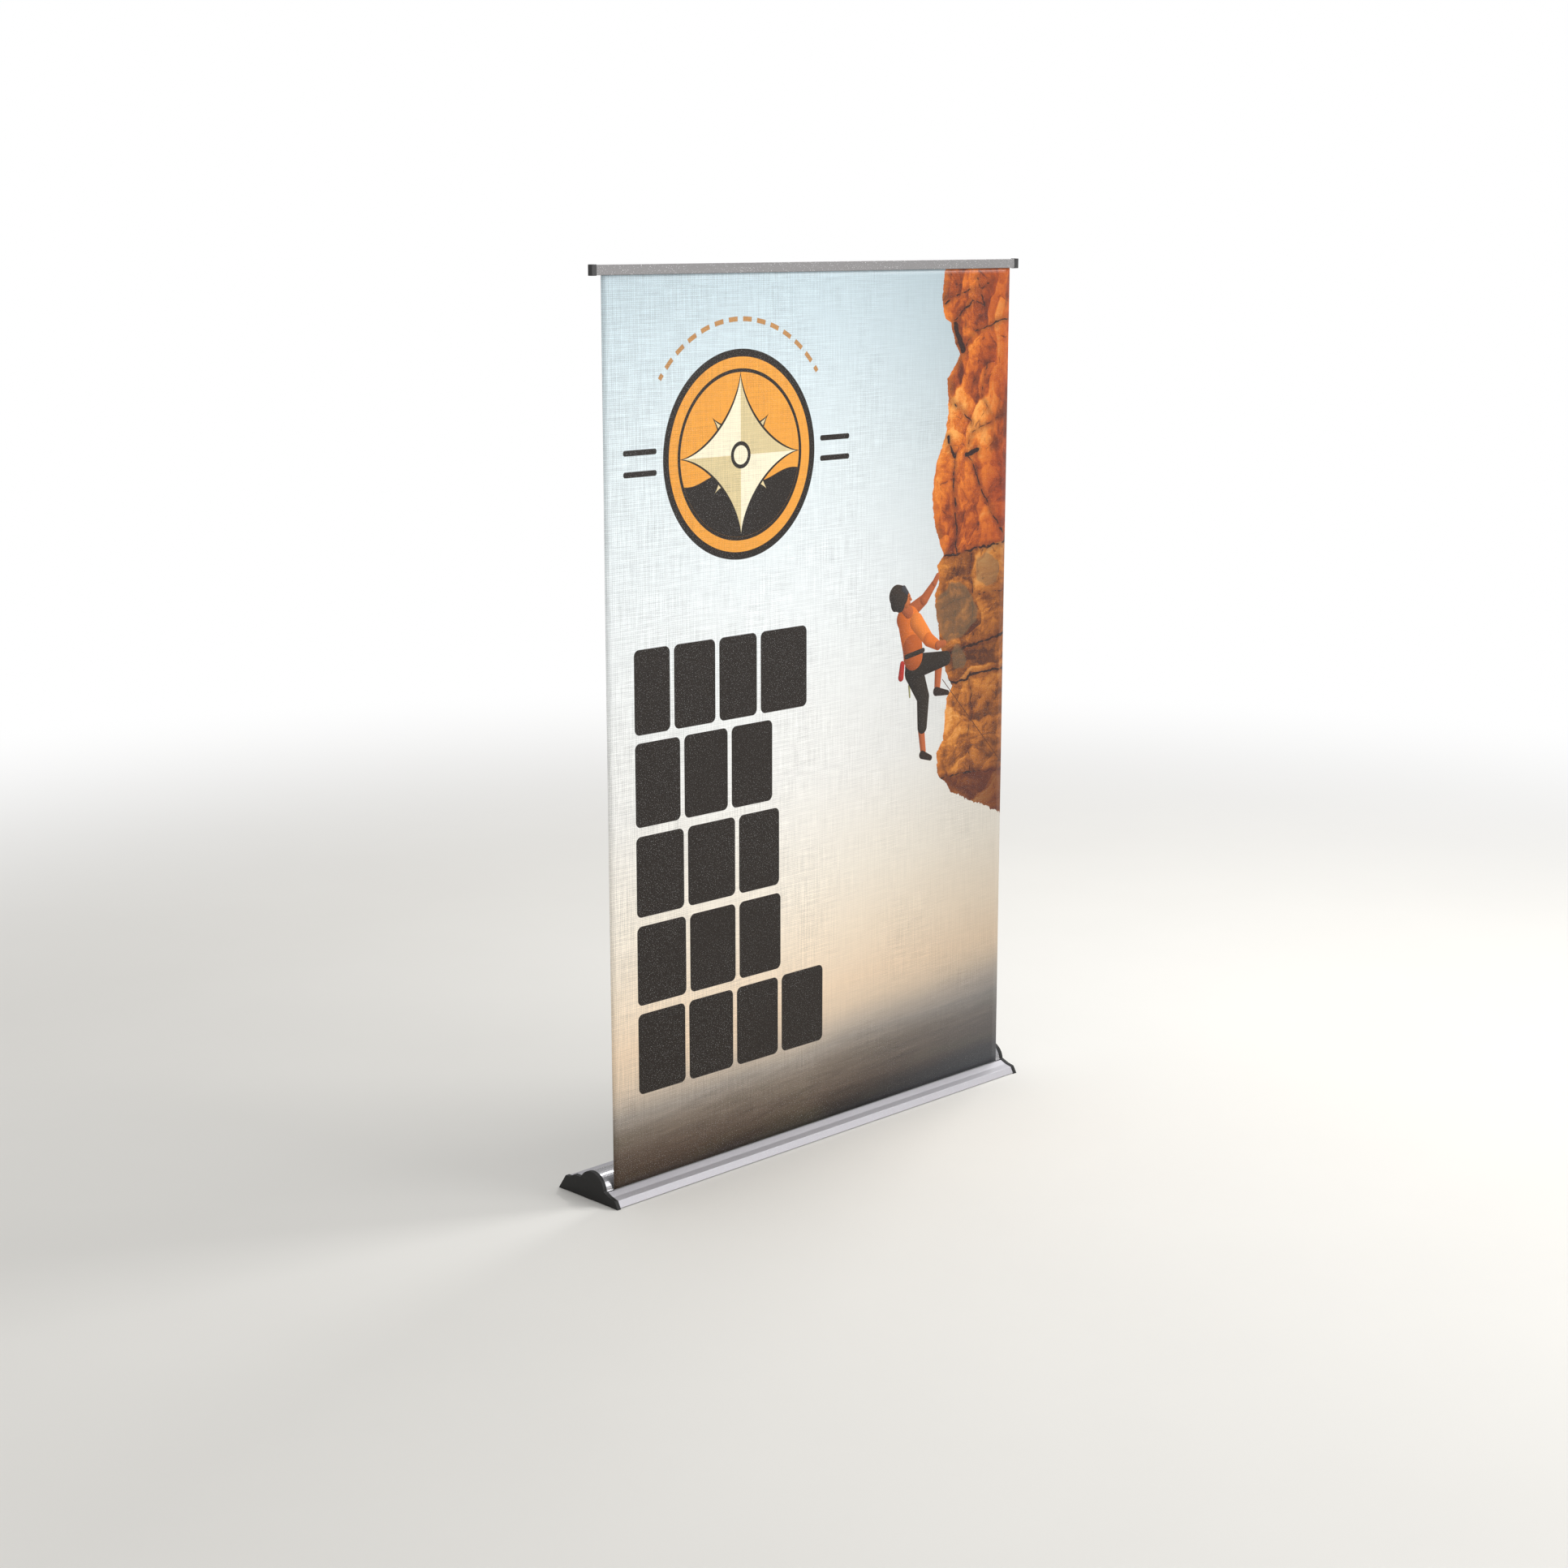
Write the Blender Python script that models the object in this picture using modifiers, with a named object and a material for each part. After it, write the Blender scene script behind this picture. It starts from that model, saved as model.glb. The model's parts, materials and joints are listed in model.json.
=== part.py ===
"""A roll-up banner stand for a banner about 1.5 m wide, drawn up to its full height.

Metres, +Z up. X runs along the banner's width, the printed side faces -Y and the stand rests
on Z = 0. The origin is the middle of the footprint. Pieces that touch keep a gap of CLEAR.
"""

import math

import bmesh
import bpy
from mathutils import Matrix, Vector

COLLECTION_NAME = "roll_up_banner_stand"
CUTTER_COLLECTION_NAME = "cutters"

# Overall
BASE_LENGTH = 1.540
STAND_HEIGHT = 2.325
CLEAR = 0.0003
SIDES = 32
SMALL_SIDES = 16
WELD = 0.00001
FLAT_ANGLE = math.radians(0.2)
SMOOTH_ANGLE = math.radians(30)
BEVEL_ANGLE = math.radians(45)
ROUNDED_ANGLE = math.radians(18)
CUT_REACH = 0.0300

# Base section, seen from its end. A setback is measured from the front edge.
FOLD_SETBACK = 0.0114
FOLD_HEIGHT = 0.0200
KNEE_SETBACK = 0.0310
KNEE_HEIGHT = 0.0244
LIP_SETBACK = 0.0507
LIP_HEIGHT = 0.0330
LIP_TO_HUMP = 0.0025
HUMP_CENTRE_HEIGHT = 0.0295
HUMP_RADIUS = 0.0468
HUMP_STEPS = 20
LEDGE_WIDTH = 0.0212
LEDGE_HEIGHT = 0.0510
RISER_RUN = 0.0180
SHELF_RUN = 0.0150
SHELF_HEIGHT = 0.0405
HEEL_RUN = 0.0284
CORNER_RADIUS = 0.0025
TIP_RADIUS = 0.0006
CORNER_STEPS = 3

# End caps. The rim stands proud of the aluminium and overlaps its end.
CAP_RIM = 0.0018
CAP_FACE = 0.0022
CAP_DEPTH = 0.0110
CAP_EDGE = 0.0007
CAP_FOOT_WIDTH = 0.0260
CAP_FRONT_RECESS = 0.0008
CAP_REAR_RECESS = 0.0010

# Aluminium base, cover and end plates
BASE_WALL = 0.0020
COVER_WALL = 0.0020
COVER_TUCK = 0.0060
NOSE_RADIUS = 0.0024
NOSE_HEIGHT = 0.0320
SLOT_FRONT_GAP = 0.0016
PLATE_THICKNESS = 0.0030
PORT_BORE = 0.0023
PORT_WALL = 0.0017
PORT_BITE = 0.0006
SCREW_RADIUS = 0.0020
SCREW_LENGTH = 0.0150
SCREW_HEAD_RADIUS = 0.0040
SCREW_HEAD_HEIGHT = 0.0020
SCREW_CROWN_RADIUS = 0.0028
SCREW_SKIRT = 0.0008
FOOT_RADIUS = 0.0100
FOOT_INSET_X = 0.0700
FOOT_INSET_Y = 0.0220

# Roller, inside the hump
ROLLER_RADIUS = 0.0180
ROLLER_WALL = 0.0012
ROLLER_HEIGHT = 0.0300
ROLL_THICKNESS = 0.0027
PIN_RADIUS = 0.0040
PIN_HEAD_RADIUS = 0.0070
PIN_LENGTH = 0.0260
PLUG_FLANGE = 0.0030
PLUG_DEPTH = 0.0180
ROLLER_END_GAP = 0.0005
SPINDLE_LENGTH = 0.4200
SPRING_HUB_RADIUS = 0.0120
SPRING_HUB_LENGTH = 0.0160
SPRING_HUB_GAP = 0.0012
SPRING_RADIUS = 0.0090
SPRING_WIRE = 0.0011
SPRING_LENGTH = 0.3000
SPRING_TURNS = 16
SPRING_POINTS_PER_TURN = 10
ANCHOR_LENGTH = 0.0200

# Banner, from the base's end to the banner's edge
SHEET_MARGIN = 0.0330
SHEET_THICKNESS = 0.0006
SHEET_TURN_STEPS = 6
HEM_THICKNESS = 0.0030
HEM_HEIGHT = 0.0100

# Top rail, measured from its own bottom edge and from its middle in Y
RAIL_OVERHANG = 0.0310
RAIL_HEIGHT = 0.0240
RAIL_DEPTH = 0.0120
RAIL_WALL = 0.0013
RAIL_SHEET_Y = -0.0026
RAIL_SLOT = 0.0014
RAIL_DIVIDER_Y = -0.0005
HOOK_CHANNEL_HEIGHT = 0.0160
RAIL_CORNER = 0.0012
RAIL_CAP_RIM = 0.0012
RAIL_CAP_DEPTH = 0.0150
RAIL_CAP_FACE = 0.0020
RAIL_CAP_EDGE = 0.0005

# Telescopic pole. A position along it is measured from the lower tube's bottom end.
LOWER_RADIUS = 0.0125
TUBE_WALL = 0.0012
SECTION_OVERLAP = 0.1500
HEAD_SETBACK = 0.0160
HEAD_DROP = 0.0220
FOOT_FLANGE = 0.0030
FOOT_PLUG_LENGTH = 0.0250
SPIGOT_RADIUS = 0.0080
SPIGOT_LENGTH = 0.0380
SOCKET_WALL = 0.0017
SOCKET_FLANGE = 0.0020
SOCKET_FLANGE_RADIUS = 0.0115
SOCKET_FLOOR_GAP = 0.0008
SOCKET_TILT_ROOM = 0.0005
SOCKET_HOLE_GAP = 0.0006
TUBE_PLUG_LENGTH = 0.0120
TUBE_PLUG_FLANGE = 0.0030
HEAD_PLUG_LENGTH = 0.0300
HEAD_WIDTH = 0.0300
HEAD_BLOCK_HEIGHT = 0.0180
HEAD_FRONT_CUT = 0.0090
HEAD_BACK_CUT = 0.0045
HEAD_BACK_RUN = 0.0038

# Cam clamps on the pole
COLLAR_WALL = 0.0045
COLLAR_BELOW = 0.0240
COLLAR_ABOVE = 0.0140
COLLAR_CHAMFER = 0.0012
LEVER_WIDTH = 0.0100
LEVER_BOSS = 0.0065
LEVER_LENGTH = 0.0440
LEVER_THICKNESS = 0.0046
LEVER_BEND = 0.0264
LEVER_KICK = 0.0035
LEVER_STEPS = 14
LEVER_EDGE = 0.0007
LEVER_PIN_RADIUS = 0.0020
LEVER_PIN_DROP = 0.0060
EAR_THICKNESS = 0.0040
EAR_RADIUS = 0.0070
EAR_ROOT = 0.0015
EAR_STEPS = 8


def tip_loss(run, rise):
    """How far rounding pulls back the tip between the floor and a slope."""
    return TIP_RADIUS * (1 / math.tan(math.atan2(rise, run) / 2) - 1)


# Worked out from the sizes above
HUMP_SETBACK = LIP_SETBACK + LIP_TO_HUMP + HUMP_RADIUS
LEDGE_REACH = HUMP_RADIUS + LEDGE_WIDTH
SHEET_WIDTH = BASE_LENGTH - 2 * SHEET_MARGIN
RAIL_LENGTH = SHEET_WIDTH + 2 * RAIL_OVERHANG
BASE_DEPTH = HUMP_SETBACK + LEDGE_REACH + RISER_RUN + SHELF_RUN + HEEL_RUN
TOE_LOSS = tip_loss(FOLD_SETBACK, FOLD_HEIGHT)
HEEL_LOSS = tip_loss(HEEL_RUN, SHELF_HEIGHT)
FRONT_Y = -(BASE_DEPTH + TOE_LOSS - HEEL_LOSS) / 2
REAR_Y = FRONT_Y + BASE_DEPTH
HUMP_Y = FRONT_Y + HUMP_SETBACK
COVER_RADIUS = HUMP_RADIUS - CAP_RIM
LEDGE_TOP = LEDGE_HEIGHT - CAP_RIM
PLATE_OUTER_X = BASE_LENGTH / 2 - CAP_FACE - CLEAR - SCREW_HEAD_HEIGHT
PLATE_INNER_X = PLATE_OUTER_X - PLATE_THICKNESS
BASE_END_X = PLATE_INNER_X - CLEAR
PLUG_END_X = PLATE_INNER_X - ROLLER_END_GAP
TUBE_END_X = PLUG_END_X - PLUG_FLANGE - CLEAR
ROLLER_BORE = ROLLER_RADIUS - ROLLER_WALL
ROLL_RADIUS = ROLLER_RADIUS + CLEAR + ROLL_THICKNESS
NOSE_ANGLE = math.pi - math.asin((NOSE_HEIGHT - HUMP_CENTRE_HEIGHT) / COVER_RADIUS)
NOSE_Y = HUMP_Y + COVER_RADIUS * math.cos(NOSE_ANGLE)
SHEET_TURN_RADIUS = NOSE_RADIUS + CLEAR + SHEET_THICKNESS / 2
SHEET_Y = NOSE_Y - SHEET_TURN_RADIUS
RAIL_BOTTOM = STAND_HEIGHT - RAIL_CAP_RIM - RAIL_HEIGHT
RAIL_Y = SHEET_Y - RAIL_SHEET_Y
SHEET_TOP = RAIL_BOTTOM + RAIL_WALL + CLEAR
SLEEVE_RADIUS = SPIGOT_RADIUS + SOCKET_WALL
MIDDLE_RADIUS = LOWER_RADIUS - TUBE_WALL - CLEAR
TOP_RADIUS = MIDDLE_RADIUS - TUBE_WALL - CLEAR
LEDGE_FRONT_Y = HUMP_Y + CLEAR + math.sqrt(
    COVER_RADIUS**2 - (LEDGE_TOP - BASE_WALL - HUMP_CENTRE_HEIGHT) ** 2
)
POLE_FOOT_Y = (LEDGE_FRONT_Y + HUMP_Y + LEDGE_REACH - CAP_RIM) / 2
POLE_FOOT_Z = LEDGE_TOP + SOCKET_FLANGE + FOOT_FLANGE + 3 * CLEAR + SOCKET_TILT_ROOM
POLE_HEAD_Y = SHEET_Y + HEAD_SETBACK
POLE_HEAD_Z = RAIL_BOTTOM - HEAD_DROP
POLE_LEAN = math.atan2(POLE_FOOT_Y - POLE_HEAD_Y, POLE_HEAD_Z - POLE_FOOT_Z)
POLE_LENGTH = math.hypot(POLE_FOOT_Y - POLE_HEAD_Y, POLE_HEAD_Z - POLE_FOOT_Z)
TUBE_LENGTH = (POLE_LENGTH + 2 * SECTION_OVERLAP) / 3
MIDDLE_START = TUBE_LENGTH - SECTION_OVERLAP
TOP_START = 2 * MIDDLE_START

PLASTIC_BLACK = ((0.012, 0.012, 0.013, 1), 0.45, 0.0)
PLASTIC_GREY = ((0.10, 0.10, 0.11, 1), 0.50, 0.0)
ALUMINIUM = ((0.55, 0.55, 0.57, 1), 0.32, 1.0)
STEEL = ((0.42, 0.42, 0.43, 1), 0.30, 1.0)
SPRING_STEEL = ((0.24, 0.24, 0.25, 1), 0.35, 1.0)
RUBBER = ((0.02, 0.02, 0.02, 1), 0.85, 0.0)
PRINTED_FABRIC = ((0.72, 0.74, 0.72, 1), 0.65, 0.0)

# Local X, Y, Z of a flat outline become the stand's Y, Z, X.
ALONG_X = Matrix(((0, 0, 1, 0), (1, 0, 0, 0), (0, 1, 0, 0), (0, 0, 0, 1)))


def clear_scene():
    for obj in list(bpy.data.objects):
        bpy.data.objects.remove(obj, do_unlink=True)


def new_collection(name):
    collection = bpy.data.collections.new(name)
    bpy.context.scene.collection.children.link(collection)
    return collection


clear_scene()
PARTS = new_collection(COLLECTION_NAME)
CUTTERS = new_collection(CUTTER_COLLECTION_NAME)


# ---------------------------------------------------------------- helpers


def finish(obj, look):
    """Gives the object a material of its own, named after it."""
    colour, roughness, metallic = look
    material = bpy.data.materials.new(obj.name)
    material.use_nodes = True
    shader = material.node_tree.nodes["Principled BSDF"]
    shader.inputs["Base Color"].default_value = colour
    shader.inputs["Roughness"].default_value = roughness
    shader.inputs["Metallic"].default_value = metallic
    obj.data.materials.clear()
    obj.data.materials.append(material)
    return obj


def add_object(name, data, place=(0, 0, 0), parent=None):
    obj = bpy.data.objects.new(name, data)
    PARTS.objects.link(obj)
    obj.parent = parent
    obj.location = place
    return obj


def as_cutter(obj):
    PARTS.objects.unlink(obj)
    CUTTERS.objects.link(obj)
    obj.display_type = "WIRE"
    obj.hide_render = True
    return obj


def boolean(obj, other, operation):
    modifier = obj.modifiers.new(operation.title(), "BOOLEAN")
    modifier.operation = operation
    modifier.solver = "EXACT"
    modifier.object = as_cutter(other)


def bevel(obj, width):
    modifier = obj.modifiers.new("Bevel", "BEVEL")
    modifier.width = width
    modifier.segments = 2
    modifier.limit_method = "ANGLE"
    modifier.angle_limit = BEVEL_ANGLE
    modifier.use_clamp_overlap = True


def mesh_of_curve(curve):
    """The curve's surface as a welded mesh, with its faces pointing out."""
    holder = bpy.data.objects.new(curve.name, curve)
    bpy.context.scene.collection.objects.link(holder)
    graph = bpy.context.evaluated_depsgraph_get()
    mesh = bpy.data.meshes.new_from_object(holder.evaluated_get(graph))
    bpy.data.objects.remove(holder)
    shape = bmesh.new()
    shape.from_mesh(mesh)
    bmesh.ops.remove_doubles(shape, verts=shape.verts, dist=WELD)
    bmesh.ops.recalc_face_normals(shape, faces=shape.faces)
    shape.to_mesh(mesh)
    shape.free()
    return mesh


def merge_flat_faces(mesh):
    """Turns the triangles of a flat end into one face."""
    shape = bmesh.new()
    shape.from_mesh(mesh)
    bmesh.ops.dissolve_limit(shape, angle_limit=FLAT_ANGLE, verts=shape.verts, edges=shape.edges)
    shape.to_mesh(mesh)
    shape.free()


def prism(name, outline, start, end, place=(0, 0, 0), parent=None):
    """An outline of (Y, Z) corners, stretched along X from start to end."""
    curve = bpy.data.curves.new(name, "CURVE")
    curve.dimensions = "2D"
    curve.fill_mode = "BOTH"
    curve.extrude = (end - start) / 2
    spline = curve.splines.new("POLY")
    spline.points.add(len(outline) - 1)
    for point, corner in zip(spline.points, outline):
        point.co = (corner[0], corner[1], 0, 1)
    spline.use_cyclic_u = True
    mesh = mesh_of_curve(curve)
    merge_flat_faces(mesh)
    middle = Matrix.Translation(((start + end) / 2, 0, 0))
    mesh.transform(middle @ ALONG_X)
    obj = add_object(name, mesh, place, parent)
    mesh.shade_smooth()
    mesh.set_sharp_from_angle(angle=SMOOTH_ANGLE)
    return obj


def turned(name, profile, hollow, place=(0, 0, 0), parent=None, sides=SIDES):
    """A (radius, height) profile turned about Z. It runs down the outer side, top to bottom."""
    points = [(radius, 0, height) for radius, height in profile]
    edges = [(i, i + 1) for i in range(len(points) - 1)]
    if hollow:
        edges.append((len(points) - 1, 0))
    mesh = bpy.data.meshes.new(name)
    mesh.from_pydata(points, edges, [])
    obj = add_object(name, mesh, place, parent)
    screw = obj.modifiers.new("Screw", "SCREW")
    screw.steps = sides
    screw.render_steps = sides
    screw.use_merge_vertices = True
    screw.merge_threshold = WELD
    return obj


def tube(name, outer, inner, bottom, top, place=(0, 0, 0), parent=None, sides=SIDES):
    profile = [(outer, top), (outer, bottom), (inner, bottom), (inner, top)]
    return turned(name, profile, True, place, parent, sides)


def rod(name, radius, bottom, top, place=(0, 0, 0), parent=None, sides=SIDES):
    profile = [(0, top), (radius, top), (radius, bottom), (0, bottom)]
    return turned(name, profile, False, place, parent, sides)


def lay_along_x(obj):
    """Turns an object's own Z to the stand's +X."""
    obj.rotation_euler = (0, math.pi / 2, 0)
    return obj


def left_of(direction):
    return Vector((-direction.y, direction.x))


def shifted(points, distance, closed):
    """The line moved to its left by a distance, each corner along its mitre."""
    moved = []
    last = len(points) - 1
    for i, corner in enumerate(points):
        before = points[i - 1] if closed or i > 0 else None
        after = points[(i + 1) % len(points)] if closed or i < last else None
        if before is None:
            moved.append(corner + left_of((after - corner).normalized()) * distance)
        elif after is None:
            moved.append(corner + left_of((corner - before).normalized()) * distance)
        else:
            arriving = (corner - before).normalized()
            leaving = (after - corner).normalized()
            mitre = left_of(arriving) + left_of(leaving)
            moved.append(corner + mitre * (distance / (1 + arriving.dot(leaving))))
    return moved


def rounded(points, radius, closed, tips=()):
    """Rounds every corner that turns by over ROUNDED_ANGLE. Corners at tips get TIP_RADIUS."""
    result = []
    last = len(points) - 1
    for i, corner in enumerate(points):
        if not closed and i in (0, last):
            result.append(corner)
            continue
        arriving = (corner - points[i - 1]).normalized()
        leaving = (points[(i + 1) % len(points)] - corner).normalized()
        turn = arriving.angle_signed(leaving) * -1
        if abs(turn) < ROUNDED_ANGLE:
            result.append(corner)
            continue
        size = TIP_RADIUS if i in tips else radius
        side = math.copysign(1, turn)
        start = corner - arriving * size * math.tan(abs(turn) / 2)
        centre = start + left_of(arriving) * size * side
        spoke = start - centre
        for step in range(CORNER_STEPS + 1):
            result.append(centre + Matrix.Rotation(turn * step / CORNER_STEPS, 2) @ spoke)
    return result


def arc(centre, radius, first, last, steps):
    """Points on a circle in (Y, Z), between two angles measured from +Y."""
    angles = [first + (last - first) * i / steps for i in range(steps + 1)]
    return [centre + Vector((math.cos(a), math.sin(a))) * radius for a in angles]


def wall_outline(path, wall, radius=0.0, tips=()):
    """The closed outline of a sheet that has this path as its outer side, on the path's right."""
    outer = rounded(path, radius, False, tips) if radius else list(path)
    inner = shifted(path, wall, False)
    return outer + inner[::-1]


# ---------------------------------------------------------------- base section

TOE, HEEL, SHELF_BACK, SHELF_FRONT, LEDGE_BACK = range(5)
LIP, KNEE, FOLD = -3, -2, -1


def base_section():
    """Corners of an end cap's outline, anticlockwise from the toe, with the hump as an arc."""
    hump_centre = Vector((HUMP_Y, HUMP_CENTRE_HEIGHT))
    back_angle = math.asin((LEDGE_HEIGHT - HUMP_CENTRE_HEIGHT) / HUMP_RADIUS)
    front_angle = math.pi - math.asin((LIP_HEIGHT - HUMP_CENTRE_HEIGHT) / HUMP_RADIUS)
    ledge_back = HUMP_Y + LEDGE_REACH
    corners = [
        Vector((FRONT_Y, 0)),
        Vector((REAR_Y, 0)),
        Vector((REAR_Y - HEEL_RUN, SHELF_HEIGHT)),
        Vector((ledge_back + RISER_RUN, SHELF_HEIGHT)),
        Vector((ledge_back, LEDGE_HEIGHT)),
    ]
    corners += arc(hump_centre, HUMP_RADIUS, back_angle, front_angle, HUMP_STEPS)
    corners += [
        Vector((FRONT_Y + LIP_SETBACK, LIP_HEIGHT)),
        Vector((FRONT_Y + KNEE_SETBACK, KNEE_HEIGHT)),
        Vector((FRONT_Y + FOLD_SETBACK, FOLD_HEIGHT)),
    ]
    return corners


def cap_section():
    """The end cap's rounded outline, with three feet and shallow recesses between them."""
    corners = base_section()
    centre = (FRONT_Y + REAR_Y) / 2
    foot = CAP_FOOT_WIDTH
    underside = []
    for left, right, step in (
        (FRONT_Y + foot, centre - foot / 2, CAP_FRONT_RECESS),
        (centre + foot / 2, REAR_Y - foot, CAP_REAR_RECESS),
    ):
        underside += [
            Vector((left, 0)),
            Vector((left + step, step)),
            Vector((right - step, step)),
            Vector((right, 0)),
        ]
    outline = rounded(corners, CORNER_RADIUS, True, (TOE, HEEL))
    return outline[: CORNER_STEPS + 1] + underside + outline[CORNER_STEPS + 1 :]


def aluminium_section(grow=0.0):
    """The closed outline of the aluminium, inside the end caps' rims."""
    corners = shifted(base_section(), CAP_RIM - grow, True)
    return rounded(corners, CORNER_RADIUS, True, (TOE, HEEL))


def port_centres():
    """Where the end screws go in: the toe and heel of the base, and the top of the cover."""
    reach = CAP_RIM + BASE_WALL + PORT_BORE + PORT_WALL - PORT_BITE
    inside = shifted(base_section(), reach, True)
    top = HUMP_CENTRE_HEIGHT + HUMP_RADIUS - reach
    return {"toe": inside[TOE], "heel": inside[HEEL], "top": Vector((HUMP_Y, top))}


def add_port(obj, centre, name):
    """Joins a screw port to the inside of an extrusion, along its whole length."""
    end = BASE_END_X - CLEAR
    outer = PORT_BORE + PORT_WALL
    port = tube(name, outer, PORT_BORE, -end, end, (0, *centre), None, SMALL_SIDES)
    boolean(obj, lay_along_x(port), "UNION")


# ---------------------------------------------------------------- base


def make_base_extrusion(pole_frame):
    """The floor, the two front facets and the rear ledge and shelf, as one extrusion."""
    section = shifted(base_section(), CAP_RIM, True)
    lip_end = SHEET_Y - SHEET_THICKNESS / 2 - SLOT_FRONT_GAP
    facet = section[LIP] - section[KNEE]
    share = (lip_end - section[KNEE].x) / facet.x
    path = [
        section[KNEE] + facet * share,
        section[KNEE],
        section[FOLD],
        section[TOE],
        section[HEEL],
        section[SHELF_BACK],
        section[SHELF_FRONT],
        section[LEDGE_BACK],
        Vector((LEDGE_FRONT_Y, LEDGE_TOP)),
    ]
    tips = (path.index(section[TOE]), path.index(section[HEEL]))
    outline = wall_outline(path, BASE_WALL, CORNER_RADIUS, tips)
    base = prism("base_extrusion", outline, -BASE_END_X, BASE_END_X)
    ports = port_centres()
    add_port(base, ports["toe"], "toe_port")
    add_port(base, ports["heel"], "heel_port")
    hole_radius = SLEEVE_RADIUS + SOCKET_HOLE_GAP
    hole = rod("socket_hole", hole_radius, -SPIGOT_LENGTH / 2, CLEAR, parent=pole_frame)
    boolean(base, hole, "DIFFERENCE")
    return finish(base, ALUMINIUM)


def make_hump_cover():
    """The curved cover over the roller. Its front foot ends in a round nose for the banner."""
    centre = Vector((HUMP_Y, HUMP_CENTRE_HEIGHT))
    back = math.asin((LEDGE_TOP - COVER_TUCK - HUMP_CENTRE_HEIGHT) / COVER_RADIUS)
    path = arc(centre, COVER_RADIUS, back, NOSE_ANGLE, HUMP_STEPS)
    cover = prism("hump_cover", wall_outline(path, COVER_WALL), -BASE_END_X, BASE_END_X)
    end = BASE_LENGTH / 2 - CAP_DEPTH - CLEAR
    nose = rod("nose", NOSE_RADIUS, -end, end, (0, NOSE_Y, NOSE_HEIGHT), None, SMALL_SIDES)
    boolean(cover, lay_along_x(nose), "UNION")
    add_port(cover, port_centres()["top"], "top_port")
    return finish(cover, ALUMINIUM)


def make_end(side, sign):
    """The end cap, the end plate behind it and the plate's three screws."""
    outer = BASE_LENGTH / 2
    span = sorted((sign * (outer - CAP_DEPTH), sign * outer))
    cap = prism(f"end_cap_{side}", cap_section(), *span)
    bevel(cap, CAP_EDGE)
    pocket_span = sorted((sign * (outer - 2 * CAP_DEPTH), sign * (outer - CAP_FACE)))
    pocket = prism(f"cap_pocket_{side}", aluminium_section(CLEAR), *pocket_span)
    boolean(cap, pocket, "DIFFERENCE")
    finish(cap, PLASTIC_BLACK)

    plate_span = sorted((sign * PLATE_INNER_X, sign * PLATE_OUTER_X))
    plate = prism(f"end_plate_{side}", aluminium_section(), *plate_span)
    holes = [("axle", (HUMP_Y, ROLLER_HEIGHT), PIN_RADIUS + CLEAR)]
    holes += [(name, centre, SCREW_RADIUS + CLEAR) for name, centre in port_centres().items()]
    for name, centre, radius in holes:
        place = (sign * PLATE_INNER_X, *centre)
        hole = rod(f"{name}_hole_{side}", radius, -CUT_REACH, CUT_REACH, place, None, SMALL_SIDES)
        boolean(plate, lay_along_x(hole), "DIFFERENCE")
    finish(plate, STEEL)

    head = [
        (0, SCREW_HEAD_HEIGHT),
        (SCREW_CROWN_RADIUS, SCREW_HEAD_HEIGHT),
        (SCREW_HEAD_RADIUS, SCREW_SKIRT),
        (SCREW_HEAD_RADIUS, CLEAR),
        (SCREW_RADIUS, CLEAR),
        (SCREW_RADIUS, -SCREW_LENGTH),
        (0, -SCREW_LENGTH),
    ]
    for name, centre in port_centres().items():
        place = (sign * PLATE_OUTER_X, *centre)
        screw = turned(f"{name}_screw_{side}", head, False, place, None, SMALL_SIDES)
        screw.rotation_euler = (0, sign * math.pi / 2, 0)
        finish(screw, STEEL)


def make_rubber_feet():
    height = CAP_RIM - CLEAR
    reach = BASE_LENGTH / 2 - FOOT_INSET_X
    for side, x in (("left", -reach), ("right", reach)):
        for end, y in (("front", FRONT_Y + FOOT_INSET_Y), ("rear", REAR_Y - FOOT_INSET_Y)):
            name = f"rubber_foot_{end}_{side}"
            finish(rod(name, FOOT_RADIUS, 0, height, (x, y, 0), None, SMALL_SIDES), RUBBER)


# ---------------------------------------------------------------- roller


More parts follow.
